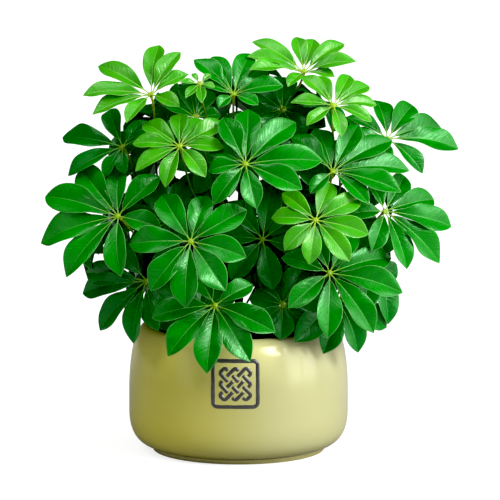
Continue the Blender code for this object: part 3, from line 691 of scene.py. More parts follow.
@dataclass(frozen=True)
class GlazeFinish:
    """A glossy straw-green glaze that thins to pale on edges, with painted light to the right and
    on the shoulder, and painted shade at the foot.

    Spans are in metres: to the right for turn, and in height for the others.
    """

    RELIEF = 0.02 * MM

    name: str
    body: Colour = (0.470, 0.435, 0.048)
    lit_right_colour: Colour = (0.455, 0.445, 0.215)
    # Painted light: the shoulder's colours are lighter, as if lit from above
    lit_shoulder_left: Colour = (0.720, 0.680, 0.130)
    lit_shoulder_right: Colour = (0.600, 0.590, 0.310)
    # Painted shade at the foot; the same colour also gives random dark specks
    foot_shade_and_speck: Colour = (0.290, 0.240, 0.030)
    thin: Colour = (0.800, 0.760, 0.420)
    turn: Pair = (-0.07, 0.10)                 # painted light: from the body colours on the left to the lighter ones on the right
    shoulder: Pair = (0.075, 0.118)            # painted light: from the low colours to the lighter high ones
    # Heights over which the painted shade at the foot fades out
    foot_shade_heights: Pair = (0.002, 0.021)
    coat_heights: Pair = (0.012, 0.060)        # where the clear coat grows thicker

    def material(self) -> bpy.types.Material:
        """The glaze's material.

        Returns:
            The material.
        """
        paint = Paint(self.name)
        right, _, up = paint.add("ShaderNodeSeparateXYZ", {0: paint.place()}).outputs
        # Painted light: the colour turns lighter towards the right and up on the shoulder
        side = paint.sum("MULTIPLY_ADD", paint.cloud(7, 1), 0.05, right)
        share = paint.slope(side, *self.turn)
        colour = paint.mix(paint.slope(up, *self.shoulder),
                           paint.mix(share, self.body, self.lit_right_colour),
                           paint.mix(share, self.lit_shoulder_left, self.lit_shoulder_right))
        # Painted shade: darker towards the foot
        low = paint.slope(up, self.foot_shade_heights[1], self.foot_shade_heights[0])
        colour = paint.over(colour, low, 0.70, self.foot_shade_and_speck)
        edge, _, _ = paint.values(Skin.BLADE)
        colour = paint.over(colour, edge, paint.patches(120, 3, 0.3, 0.6, 0.7, 1.0), self.thin)
        colour = paint.over(colour, paint.patches(650, 1, 0.72, 0.80), 0.10, self.foot_shade_and_speck)
        height = paint.sum("MULTIPLY_ADD", paint.cloud(22, 1), 2.0, paint.cloud(300, 1))
        roughness = paint.patches(16, 1, 0.2, 0.8, 0.30, 0.36)
        coat = paint.slope(up, *self.coat_heights, 0.15, 0.6)
        return paint.finish(colour, roughness, height, self.RELIEF, Coat_Weight=coat,
                            Coat_Roughness=0.14, Coat_IOR=1.5, Specular_Tint=(1.0, 0.96, 0.50))


# The saucer's glaze has painted light towards the right and painted shade at its very bottom
SAUCER_GLAZE = GlazeFinish("saucer_glaze", body=(0.42, 0.38, 0.09), lit_right_colour=(0.42, 0.38, 0.12),
                           foot_shade_heights=(0.0, 0.002))


@dataclass(frozen=True)
class EnamelFinish:
    """Dark grey raised enamel, brushed on by hand."""

    name: str = "knot_enamel"
    body: Colour = (0.030, 0.030, 0.028)
    pale: Colour = (0.062, 0.062, 0.058)

    def material(self) -> bpy.types.Material:
        """The enamel's material.

        Returns:
            The material.
        """
        paint = Paint(self.name)
        strokes = paint.patches(260, 3, 0.35, 0.7)
        colour = paint.over(self.body, strokes, 0.55, self.pale)
        ridge, _, _ = paint.values(Skin.BLADE)
        # Painted highlight: each stroke is paler along its crown
        colour = paint.over(colour, ridge, 0.5, self.pale)
        roughness = paint.slope(strokes, 0.0, 1.0, 0.28, 0.44)
        return paint.finish(colour, roughness, paint.cloud(420, 3), 0.10 * MM, Coat_Weight=0.6,
                            Coat_Roughness=0.12)


@dataclass(frozen=True)
class SlipFinish:
    """The pale line of slip that the enamel strokes lie on."""

    name: str = "knot_slip"
    body: Colour = (0.66, 0.64, 0.33)

    def material(self) -> bpy.types.Material:
        """The slip's material.

        Returns:
            The material.
        """
        paint = Paint(self.name)
        cloud = paint.patches(200, 2, 0.3, 0.7)
        colour = paint.mix(cloud, self.body, scaled(self.body, 0.9))
        roughness = paint.slope(cloud, 0.0, 1.0, 0.24, 0.32)
        return paint.finish(colour, roughness, cloud, 0.03 * MM, Coat_Weight=1.0,
                            Coat_Roughness=0.08)


@dataclass(frozen=True)
class SoilFinish:
    """Dark potting soil with pale grit."""

    name: str = "potting_soil"
    wet: Colour = (0.016, 0.010, 0.006)
    dry: Colour = (0.070, 0.045, 0.026)
    grit: Colour = (0.42, 0.38, 0.31)

    def material(self) -> bpy.types.Material:
        """The soil's material; the crumbs carry their own draw, and grit has a draw over 0.9.

        Returns:
            The material.
        """
        paint = Paint(self.name)
        draw, _, _ = paint.values(Skin.GROWTH)
        tone = paint.patches(180, 4, 0.3, 0.7)
        colour = paint.mix(tone, self.wet, self.dry)
        colour = paint.over(colour, draw, 0.5, self.dry)
        colour = paint.mix(paint.slope(draw, 0.89, 0.92), colour, self.grit)
        roughness = paint.slope(tone, 0.0, 1.0, 0.78, 0.98)
        return paint.finish(colour, roughness, paint.cloud(700, 5), 0.8 * MM,
                            Specular_IOR_Level=0.25)


@dataclass(frozen=True)
class BarkFinish:
    """Thin green-brown bark with pale pores."""

    name: str = "stem_bark"
    green: Colour = (0.035, 0.070, 0.010)
    brown: Colour = (0.060, 0.050, 0.020)
    pore: Colour = (0.16, 0.15, 0.08)

    def material(self) -> bpy.types.Material:
        """The bark's material, greener towards the stem's top.

        Returns:
            The material.
        """
        paint = Paint(self.name)
        along, _, _ = paint.values(Skin.BLADE)
        ridges = paint.patches(330, 4, 0.3, 0.7, stretch=(1, 1, 0.22))
        colour = paint.mix(paint.slope(along, 0.25, 0.8), self.brown, self.green)
        colour = paint.over(colour, ridges, 0.5, self.brown)
        pores = paint.patches(520, 1, 0.68, 0.76, stretch=(1, 1, 1.6))
        colour = paint.over(colour, pores, 0.7, self.pore)
        height = paint.sum("MULTIPLY_ADD", pores, 0.5, ridges)
        roughness = paint.slope(ridges, 0.0, 1.0, 0.60, 0.82)
        return paint.finish(colour, roughness, height, 0.35 * MM, Specular_IOR_Level=0.3)


# Leaves


@dataclass
class SeenLeaf:
    """A palmate leaf of the front view.

    Lengths are in millimetres. hub is the hub's place to the right and to the back of the pot's
    middle, and its height in the front view. facing is in degrees, round from the front and up.
    tips are the leaflet tips in that view, right and up from the hub. cup is how far the tips rise
    over the hub's plane, as a share of their length. bare is the share of a leaflet without a
    blade, crowding is how much of the room between leaflets the blades fill near the hub, and tint
    is how light the leaf's green is, from 0 to 1.
    """

    hub: Place
    facing: Pair
    width: float
    age: Age
    tips: tuple[Pair, ...]
    cup: float = -0.16
    bare: float = 0.06
    crowding: float = 1.14
    tint: float = 0.5

    def place(self) -> Vector:
        """The hub's place in space.

        Returns:
            The place, in metres.
        """
        right, back, seen_height = self.hub
        height = (seen_height - back * PICTURE_UP.y) / PICTURE_UP.z
        return Vector((right, back, height)) * MM

    def normal(self) -> Vector:
        """The direction that the leaf's upper side faces."""
        return facing_vector(*self.facing)

    def chords(self) -> list[Vector]:
        """Vectors from the hub to each leaflet's tip.

        Returns:
            One vector a leaflet.
        """
        normal = self.normal()
        chords = []
        for right, up in self.tips:
            flat = Vector((right * MM, 0, 0)) + PICTURE_UP * (up * MM)
            rise = self.cup * flat.length
            depth = (rise - flat.dot(normal)) / TO_VIEWER.dot(normal)
            chords.append(flat + TO_VIEWER * depth)
        return chords


@dataclass
class SpreadLeaf(SeenLeaf):
    """A leaf whose leaflets spread evenly round the hub, the longest ones away from the plant.

    reach is the longest leaflet's length in millimetres, count the number of leaflets, seed that
    of the leaf's draws, and shorter how much less the inmost leaflet reaches, as a share.
    """

    OUTWARD_RISE = 60              # millimetres that the outward direction climbs
    FIRST_TURN = 20                # degrees that the first leaflet may stand aside
    UNEVEN_TURN = 5                # degrees
    UNEVEN_LENGTH = (0.93, 1.04)

    bare: float = -0.05
    crowding: float = 1.4
    reach: float = 62.0
    count: int = 8
    seed: int = 0
    shorter: float = 0.34

    def place(self) -> Vector:
        """The hub's place in space, which such a leaf gives as it is."""
        return Vector(self.hub) * MM

    def chords(self) -> list[Vector]:
        """Vectors from the hub to each leaflet's tip.

        Returns:
            One vector a leaflet.
        """
        draw = random.Random(self.seed)
        normal = self.normal()
        outward = Vector((self.hub[0], self.hub[1], self.OUTWARD_RISE))
        outward = (outward - normal * outward.dot(normal)).normalized()
        side = normal.cross(outward)
        start = draw.uniform(-self.FIRST_TURN, self.FIRST_TURN)
        chords = []
        for number in range(self.count):
            uneven = draw.uniform(-self.UNEVEN_TURN, self.UNEVEN_TURN)
            turn = math.radians(start + 360 * number / self.count + uneven)
            length = self.reach * (1 - self.shorter * (1 - math.cos(turn)) / 2)
            length *= draw.uniform(*self.UNEVEN_LENGTH)
            along = outward * math.cos(turn) + side * math.sin(turn)
            chords.append((along + normal * self.cup) * length * MM)
        return chords


SEEN_LEAVES = (
    SeenLeaf((-87, -40, 353), (-20, 52), 24, Age.YOUNG, cup=0.10, bare=0.09, tips=(
        (8, 50), (31, 40), (38, 20), (29, -13), (-24, -29), (-59, -17), (-68, -1), (-53, 29))),
    SeenLeaf((-115, -42, 301), (-30, 38), 26, Age.SHADED, bare=0.08, tint=1.0, tips=(
        (-61, 10), (-13, 38), (24, 26), (30, 11), (3, -27), (-18, -31), (-55, -29))),
    SeenLeaf((-58, -92, 301), (-15, 45), 22, Age.YOUNG, tint=0.2, tips=(
        (-36, 23), (1, 33), (23, 29), (47, 22), (44, -2), (26, -31), (-14, -41), (-44, -25),
        (-46, 0))),
    SeenLeaf((-38, -78, 363), (0, 55), 11, Age.YOUNG, cup=0.12, tips=(
        (-20, 1), (-8, 10), (11, 9), (15, -4), (2, -20), (-14, -15))),
    SeenLeaf((-5, -52, 353), (0, 48), 23, Age.MATURE, cup=0.04, tint=1.0, tips=(
        (-40, 32), (-21, 38), (17, 41), (36, 24), (50, 8), (25, -11), (-15, -14), (-32, 10))),
    SeenLeaf((7, -112, 283), (-5, 36), 30, Age.MATURE, tips=(
        (-37, -7), (-31, -40), (11, -44), (56, -27), (76, 3), (50, 42), (3, 55), (-22, 42),
        (-38, 24))),
    SeenLeaf((65, -22, 376), (5, 58), 22, Age.YOUNG, cup=0.12, bare=0.09, tips=(
        (-52, 30), (-8, 31), (10, 33), (41, 28), (54, 3), (31, -6), (-16, -16), (-57, -7),
        (-58, 11))),
    SeenLeaf((94, -82, 341), (10, 52), 19, Age.YOUNG, bare=0.07, tips=(
        (-17, 30), (16, 28), (36, 20), (43, 1), (38, -16), (8, -31), (-27, -20), (-43, 3),
        (-33, 24))),
    SeenLeaf((148, -38, 309), (28, 48), 29, Age.MATURE, bare=0.08, tint=0.0, tips=(
        (-11, 39), (24, 31), (55, 11), (69, -14), (35, -35), (-8, -30), (-42, 0), (-41, 22))),
    SeenLeaf((93, -92, 276), (8, 48), 27, Age.MATURE, tips=(
        (-41, 32), (-16, 43), (25, 40), (59, 27), (77, 1), (67, -24), (36, -32), (-22, -22))),
    SeenLeaf((-119, -78, 232), (-28, 32), 34, Age.MATURE, tint=1.0, tips=(
        (-70, 17), (-38, 48), (1, 45), (42, 40), (43, -11), (3, -60), (-52, -61), (-78, -27))),
    SeenLeaf((-47, -128, 207), (-15, 28), 30, Age.MATURE, tips=(
        (-61, -3), (-40, -49), (-5, -66), (35, -49), (55, -16), (56, 31), (17, 45), (-29, 46))),
    SeenLeaf((-91, -72, 168), (-32, 22), 28, Age.SHADED, bare=0.11, tips=(
        (-61, 8), (-61, -14), (-47, -50), (-13, -63), (12, -50), (34, -36), (28, 32), (-30, 38))),
    SeenLeaf((-23, -118, 144), (-10, 36), 30, Age.MATURE, tint=0.0, tips=(
        (-47, -51), (-8, -68), (35, -56), (60, -29), (38, 20), (-20, 32), (-63, -13))),
    SeenLeaf((76, -122, 228), (4, 30), 23, Age.YOUNG, tips=(
        (-44, 2), (-31, -30), (-6, -44), (34, -41), (53, -14), (46, 22), (16, 39), (-33, 27))),
    SeenLeaf((145, -64, 237), (30, 34), 29, Age.MATURE, tips=(
        (50, 12), (64, -18), (55, -52), (22, -58), (-13, -40), (-38, -4), (-16, 30), (20, 36))),
    SeenLeaf((90, -104, 176), (14, 30), 29, Age.MATURE, tips=(
        (62, 15), (71, -22), (44, -60), (-2, -65), (-41, -35), (-48, 15), (-18, 40), (24, 44))),
    SeenLeaf((24, -66, 209), (6, 28), 28, Age.SHADED, tips=(
        (10, -50), (-32, -40), (-50, 2), (-34, 38), (8, 52), (44, 30), (50, -14))),
    SeenLeaf((98, -58, 150), (30, 26), 29, Age.SHADED, tips=(
        (50, -29), (21, -54), (-14, -55), (-43, -43), (-36, 6), (8, 38), (46, 20))),
    SeenLeaf((134, -26, 186), (38, 28), 27, Age.SHADED, tips=(
        (25, -14), (15, -62), (-18, -52), (-44, -8), (-18, 38), (18, 34))),
    SeenLeaf((-42, -40, 330), (-8, 45), 24, Age.MATURE, bare=-0.05, crowding=1.4, tips=(
        (25, 2), (16, 26), (-10, 34), (-34, 16), (-30, -18), (6, -32))),
)

# Leaves that the front view shows only in gaps, or not at all: rings of them on a dome. Each ring
# has a height, the dome's half width and half depth there, a facing, a reach, and angles from the
# front
RINGS = (
    (166, 102, 112, 14, 60, (-100, -132, -164, 164, 132, 100)),
    (226, 130, 124, 26, 62, (-94, -126, -160, 160, 130, 102)),
    (288, 120, 108, 40, 60, (-98, -140, 176, 136, 84)),
    (346, 84, 76, 52, 56, (-112, -172, 140, 90)),
    (376, 8, 20, 74, 48, (-158,)),
)
INNER_LEAVES = (
    ((-68, -44, 240), (-24, 34), 60),
    ((-14, -30, 294), (-4, 40), 58),
    ((48, -48, 306), (12, 44), 54),
    ((-40, -62, 148), (-14, 22), 54),
    ((94, -50, 234), (26, 34), 54),
    ((44, -78, 160), (6, 26), 50),
    ((-88, -8, 318), (-26, 42), 50),
    ((44, -18, 346), (4, 44), 52),
)
RING_LEAF_WIDTH = 33
INNER_LEAF_WIDTH = 32
HIDDEN_LEAFLETS = 7


def all_leaves() -> list[SeenLeaf]:
    """Every leaf of the plant in the order of the frame's nodes, the seen ones first.

    Returns:
        The leaves.
    """
    plans = []
    for height, half_width, half_depth, up, reach, angles in RINGS:
        for around in angles:
            direction = facing_vector(around, 0)
            hub = (direction.x * half_width, direction.y * half_depth, height)
            plans.append((hub, (around, up), RING_LEAF_WIDTH, 1.0, reach))
    plans += [(hub, facing, INNER_LEAF_WIDTH, 0.2, reach) for hub, facing, reach in INNER_LEAVES]
    leaves = list(SEEN_LEAVES)
    for seed, (hub, facing, width, tint, reach) in enumerate(plans, start=1):
        # The hidden leaves take the darker finish, painted shade
        leaves.append(SpreadLeaf(hub, facing, width, Age.SHADED, (), tint=tint, reach=reach,
                                 count=HIDDEN_LEAFLETS, seed=seed))
    return leaves


class FramePoints:
    """The points of one of the frame's nodes, to find what a guess matches."""

    def __init__(self, node: bpy.types.Object) -> None:
        """Sorts the node's points.

        Args:
            node: The frame's object.
        """
        vertices = node.data.vertices
        self.tree = KDTree(len(vertices))
        for number, vertex in enumerate(vertices):
            self.tree.insert(vertex.co, number)
        self.tree.balance()

    def off(self, *points: Vector) -> float:
        """How far the worst of some points lies from the node's nearest point."""
        return max(self.tree.find(point)[2] for point in points)


@dataclass
class Leaflet:
    """A leaflet that leaves the hub's rim at root and ends at root + chord.

    up is the side of its back, and room holds the angles to the bisectors between it and its left
    and right neighbour.
    """

    root: Vector
    chord: Vector
    up: Vector
    half_width: float
    room: Pair

    def bent(self, pitch: float, share: float) -> Leaflet:
        """The same leaflet, bent.

        Args:
            pitch: Degrees that its chord is turned up.
            share: Its length over the old length.

        Returns:
            The bent leaflet.
        """
        side = self.up.cross(self.chord).normalized()
        turn = Matrix.Rotation(-math.radians(pitch), 3, side)
        return Leaflet(self.root, turn @ self.chord * share, turn @ self.up,
                       self.half_width * (0.5 + 0.5 * share), self.room)

    def tip(self) -> tuple[Vector, Vector]:
        """Upper and lower point of the frame's tip.

        Returns:
            Both points.
        """
        along = self.chord - self.up * (4 * ARCH * self.chord.length)
        along.normalize()
        back = along.cross(self.up.cross(along).normalized())
        half = back * (FRAME_BLADE_THICKNESS / 2)
        end = self.root + self.chord
        return end + half, end - half

    def on_frame(self, frame: FramePoints) -> Leaflet:
        """The first of the bends whose tip lies on the frame, or else the nearest one.

        Args:
            frame: The points of the leaf's node.

        Returns:
            The leaflet as the frame holds it.
        """
        bends = [self.bent(*bend) for bend in BENDS]
        return min(bends, key=lambda leaflet: frame.off(*leaflet.tip()))


class BladeMaker:
    """Makes the fine skin of leaflets: a folded, arched, waved blade on its own short stalk."""

    ROWS = np.concatenate([np.linspace(0, 0.05, 3), np.linspace(0.075, 0.20, 6),
                           np.linspace(0.25, 0.87, 14), (0.91, 0.94, 0.965, 0.982, 0.994, 1.0)])
    COLUMNS = np.array((-1, -0.965, -0.86, -0.66, -0.44, -0.22, -0.06, 0,
                        0.06, 0.22, 0.44, 0.66, 0.86, 0.965, 1))
    STALK_RADIUS = 0.62 * MM
    STALK_TAPER = 0.93
    STALK_ENDS = (0.2, 0.8)
    HALF_THICKNESS = 0.21 * MM
    RIB_DEPTH = 0.55 * MM
    RIB_REACH = 0.6 * MM
    FOLD_SHARE = 1.5               # slope at the midrib over the mean slope of a half blade
    FOLD_SOFTNESS = 0.03
    FOLD_RISE = 1.70               # how much deeper the fold is than the frame's
    WAVE = 0.034                   # height of the margin's waves, as a share of the length
    WAVE_SHARES = (0.4, 1.0)       # how much of that height a leaflet has
    WAVE_TURNS = (1.2, 2.1)        # waves along a margin
    WAVE_START = (0.1, 0.4)
    BOW = 0.016                    # sideways bow at most, as a share of the length
    ROLLS = (0.04, 0.14)           # radians that the end of the blade is rolled to one side
    ROLL_START = (0.2, 0.9)
    SLIMMING = 0.06                # how much slimmer the last part of the blade is
    SLIM_PART = (0.78, 0.97)
    FAN_CENTRE = 0.8               # how far behind its root a leaflet's room starts, in hub radii
    FREE_FROM = 0.24               # share of the length past which a blade may lie on the next one
    FREEDOM = 3.2
    SQUARENESS = 6                 # how late the blade's outline turns into the limit of its room
    BLADE_START = (0.05, 0.13)     # where the round stalk becomes a flat blade
    END_TAPER = (0.97, 1.0)
    END_THICKNESS = 0.3

    def __init__(self, leaflet: Leaflet, plan: SeenLeaf, draw: random.Random) -> None:
        """Works out the blade's points.

        Args:
            leaflet: The leaflet as the frame holds it.
            plan: The leaf's plan.
            draw: Source of this leaf's draws.
        """
        self.leaflet = leaflet
        self.plan = plan
        self.length = leaflet.chord.length
        self.bias = draw.random()
        self.waves = [(draw.uniform(*self.WAVE_TURNS), draw.random()) for _ in range(2)]
        self.wave = self.WAVE * self.length * draw.uniform(*self.WAVE_SHARES)
        self.bow = draw.uniform(-self.BOW, self.BOW) * self.length
        self.roll = draw.uniform(*self.ROLLS)
        rows, columns = self.ROWS[:, None], self.COLUMNS[None, :]
        self.middle, self.side, self.back = self.spine(rows)
        left, right = (self.reach(self.ROWS, room)[:, None] for room in leaflet.room)
        self.half = np.where(columns > 0, left, right)
        self.body = self.bend(rows, columns)

    def spine(self, rows: np.ndarray) -> tuple[np.ndarray, np.ndarray, np.ndarray]:
        """The blade's middle line, with its side and back directions.

        Args:
            rows: Shares of the length, in a column.

        Returns:
            The line's points and both directions, one row each.
        """
        chord, up = np.array(self.leaflet.chord), np.array(self.leaflet.up)
        rise = 4 * ARCH * self.length
        middle = np.array(self.leaflet.root) + chord * rows + up * (rise * rows * (1 - rows))
        along = unit(chord + up * (rise * (1 - 2 * rows)))
        side = unit(np.cross(up, along))
        middle = middle + side * (self.bow * np.sin(math.pi * rows) ** 2)
        back = np.cross(along, side)
        angle = self.roll * smooth_step(*self.ROLL_START, rows)
        across = side * np.cos(angle) + back * np.sin(angle)
        return middle, across, back * np.cos(angle) - side * np.sin(angle)

    def reach(self, rows: np.ndarray, room: float) -> np.ndarray:
        """Half the blade's width, kept on its own side of the neighbour near the hub.

        Args:
            rows: Shares of the length.
            room: Angle to the neighbour's bisector.

        Returns:
            The half width at each row.
        """
        bare = self.plan.bare
        out = np.clip((rows - bare) / (1 - bare), 0, 1)
        span = np.where(out < WIDEST, WIDEST, 1 - WIDEST)
        half = self.leaflet.half_width * (1 - ((out - WIDEST) / span) ** 2)
        half *= 1 - self.SLIMMING * smooth_step(*self.SLIM_PART, out)
        from_centre = rows * self.length + self.FAN_CENTRE * HUB_RADIUS
        limit = from_centre * math.sin(room) * self.plan.crowding
        limit += np.clip(rows - self.FREE_FROM, 0, 1) ** 2 * self.length * self.FREEDOM
        half = half / (1 + (half / limit) ** self.SQUARENESS) ** (1 / self.SQUARENESS)
        stalk = self.STALK_RADIUS * (1 - self.STALK_TAPER * smooth_step(*self.STALK_ENDS, rows))
        return np.hypot(half, stalk * (rows < 1))

    def bend(self, rows: np.ndarray, columns: np.ndarray) -> np.ndarray:
        """Folds, waves and places the blade's middle layer.

        Args:
            rows: Shares of the length, in a column.
            columns: Shares of the half width, in a row.

        Returns:
            A grid of places.
        """
        fold = np.sqrt(columns ** 2 + self.FOLD_SOFTNESS ** 2) - self.FOLD_SOFTNESS
        slope = self.FOLD_SHARE * fold - (self.FOLD_SHARE - 1) * columns ** 2
        lift = self.FOLD_RISE * math.tan(GUTTER) * self.half * slope
        left, right = (np.sin(FULL_TURN * (rows * turns + phase)) for turns, phase in self.waves)
        wave = self.wave * np.where(columns > 0, left, right)
        start = smooth_step(*self.WAVE_START, rows)
        lift = lift + wave * columns ** 2 * np.sin(math.pi * rows) * start
        return (self.middle[:, None] + self.side[:, None] * (self.half * columns)[..., None]
                + self.back[:, None] * lift[..., None])

    def add_to(self, skin: Skin, upper: Island, under: Island, tint: float) -> None:
        """Adds the blade's closed skin.

        Args:
            skin: The leaf's skin.
            upper: Where the upper side is unwrapped.
            under: Where the underside is unwrapped.
            tint: The leaf's own draw.
        """
        rows, columns = self.ROWS[:, None], self.COLUMNS[None, :]
        edge = np.sqrt(np.clip(1 - columns ** 2, 0, 1))
        round_part = 1 - smooth_step(*self.BLADE_START, rows)
        flat = self.HALF_THICKNESS * np.minimum(1, 2.2 * edge)
        thick = flat * (1 - round_part) + self.STALK_RADIUS * edge * round_part
        full = 1 - smooth_step(*self.END_TAPER, rows)
        thick = thick * (self.END_THICKNESS + (1 - self.END_THICKNESS) * full)
        across = self.half * columns
        rib = self.RIB_DEPTH * np.exp(-(across / self.RIB_REACH) ** 2) * (1 - round_part)
        rib = rib * (1 - rows) ** 0.6
        margin = self.half * (1 - np.abs(columns))
        shares, _ = np.broadcast_arrays(rows, columns)
        values = np.stack([shares, across / MM, margin / MM], -1)
        growth = np.array((self.bias, tint, self.length / MM))
        top = skin.add(self.body + self.back[:, None] * thick[..., None], values, growth)
        low = skin.add(self.body - self.back[:, None] * (thick + rib)[..., None], values, growth)
        low[:, 0], low[:, -1] = top[:, 0], top[:, -1]
        top[-1], low[-1] = top[-1, 0], top[-1, 0]
        places = 0.5 + across / (2.1 * float(self.half.max()))
        skin.patch(top, upper.spread(places, shares), 0)
        skin.patch(low, under.spread(places, shares), 1, turned_over=True)


@dataclass
class StalkLine:
    """A leaf stalk's curve from a stem's side to the back of the hub."""

    foot: Vector
    first: Vector
    second: Vector
    end: Vector

    def point(self, t: float) -> Vector:
        """The place at a share of the curve."""
        return (self.foot * (1 - t) ** 3 + self.first * (3 * t * (1 - t) ** 2)
                + self.second * (3 * t * t * (1 - t)) + self.end * t ** 3)

    def ahead(self, t: float) -> Vector:
        """The direction at a share of the curve.

        Args:
            t: The share.

        Returns:
            A unit vector.
        """
        way = (self.first - self.foot) * (1 - t) ** 2
        way += (self.second - self.first) * (2 * t * (1 - t))
        return (way + (self.end - self.second) * t ** 2).normalized()

    def frame_corners(self) -> tuple[Vector, Vector]:
        """The first corner of the frame's rings at the foot and a third of the way up.

        Returns:
            Both points.
        """
        ahead = self.ahead(0)
        across = ahead.orthogonal().normalized()
        at_foot = self.foot + across * PETIOLE_RADIUS
        share = 1 / PETIOLE_STEPS
        ahead = self.ahead(share)
        across = (across - ahead * across.dot(ahead)).normalized()
        return at_foot, self.point(share) + across * PETIOLE_RADIUS


@dataclass
class Stem:
    """A woody stem along a line of points, thinner towards its top."""

    BASE_RADIUS = 4.6 * MM
    TIP_RADIUS = 2.6 * MM
    SIDES = 18
    ROWS = 64
    SCAR_GAP = 17 * MM
    SCAR_SHIFT = 5 * MM            # how much higher the scars start on each next stem
    SCAR_SIZE = (0.45 * MM, 1.3 * MM)
    ROUGHNESS = 0.35 * MM
    STRAIGHT_SHARE = 0.15          # of the length, before the stem grows thinner
    TOP_SHARE = 0.8                # radius of the cut top over the stem's

    name: str
    points: list[Vector]

    def at(self, height: float) -> tuple[Vector, float, Vector]:
        """The stem's middle, its radius and its direction at a height.

        Args:
            height: The height.

        Returns:
            A point, a radius and a unit vector.
        """
        segments = list(zip(self.points, self.points[1:]))
        number = 0
        while number < len(segments) - 1 and height > segments[number][1].z:
            number += 1
        low, high = segments[number]
        share = min(1.0, (height - low.z) / (high.z - low.z))
        radius = self.radius((number + share) / len(segments))
        return low.lerp(high, share), radius, (high - low).normalized()

    def radius(self, share: float) -> float:
        """Radius at a share of the stem's length.

        Args:
            share: The share.

        Returns:
            The radius.
        """
        past = max(0.0, share - self.STRAIGHT_SHARE)
        thinned = (self.TIP_RADIUS - self.BASE_RADIUS) * past / (1 - self.STRAIGHT_SHARE)
        return self.BASE_RADIUS + thinned

    def line(self) -> np.ndarray:
        """The stem's points on a smooth line, close together.

        Returns:
            The line's points, one row each.
        """
        corners = np.array([tuple(point) for point in self.points])
        at = np.linspace(0, len(corners) - 1, self.ROWS)
        number = np.minimum(at.astype(int), len(corners) - 2)
        share = (at - number)[:, None]
        before, start, end, after = (
            corners[np.clip(number + k, 0, len(corners) - 1)] for k in (-1, 0, 1, 2))
        return 0.5 * (2 * start + (end - before) * share
                      + (2 * before - 5 * start + 4 * end - after) * share ** 2
                      + (3 * start - before - 3 * end + after) * share ** 3)

    def build(self, bark: bpy.types.Material, seed: int) -> bpy.types.Object:
        """Makes the stem with the ring scars of old leaves.

        Args:
            bark: The bark.
            seed: Seed of its draws.

        Returns:
            The new object.
        """
        line = self.line()
        shares = np.linspace(0, 1, self.ROWS)
        base = np.array([self.radius(share) for share in shares])
        run = run_length(line)
        gaps = (run + seed * self.SCAR_SHIFT) % self.SCAR_GAP - self.SCAR_GAP / 2
        scars = self.SCAR_SIZE[0] * np.exp(-(gaps / self.SCAR_SIZE[1]) ** 2)
        spots = [(math.cos(a) * 1.6 + seed, math.sin(a) * 1.6) for a in circle(self.SIDES)]
        rough = [[noise.noise(Vector((*spot, z * 60))) for spot in spots] for z in run]
        radii = (base + scars)[:, None] + self.ROUGHNESS * np.array(rough)
        radii[-1] *= self.TOP_SHARE
        skin = Skin()
        rings = sweep(line, radii, self.SIDES)
        skin.tube(rings, Island(0, 0, 1, 1), 0, first_value(shares[:, None]))
        return skin.piece(f"{self.name}_bark", [bark], "stem_bark", self.name)


@dataclass
class Stems:
    """One stem in the middle and a ring of them that lean outwards."""

    count: int = 6
    ring: float = 30 * MM
    lean: float = 46 * MM
    first_angle: float = 56
    top: float = 292 * MM
    middle_top: float = 330 * MM
    steps: int = 7
    middle_lean: float = 6 * MM
    top_step: float = 14 * MM      # how much lower the next stem of the ring may end
    sway: float = 3 * MM

    def plan(self) -> list[Stem]:
        """The stems along the frame's lines.

        Returns:
            The stems, the middle one first.
        """
        stems = []
        bottom = SOIL_EDGE_HEIGHT - STEM_HOLE_DEPTH
        for number in range(self.count):
            middle = number == 0
            around = facing_vector(self.first_angle + 360 * number / (self.count - 1), 0)
            ring = 0 if middle else self.ring
            lean = self.middle_lean if middle else self.lean
            top = self.middle_top if middle else self.top - (number % 3) * self.top_step
            points = [around * ring + Vector((0, 0, bottom))]
            for step in range(self.steps):
                share = step / (self.steps - 1)
                height = SOIL_EDGE_HEIGHT + SOIL_CROWN + (top - SOIL_EDGE_HEIGHT) * share
                sway = self.sway * math.sin(5 * share + number) * share
                out = ring + lean * share ** 1.4
                beside = Vector((-around.y, around.x, 0))
                points.append(around * out + beside * sway + Vector((0, 0, height)))
            stems.append(Stem(f"stem_{number + 1}", points))
        return stems


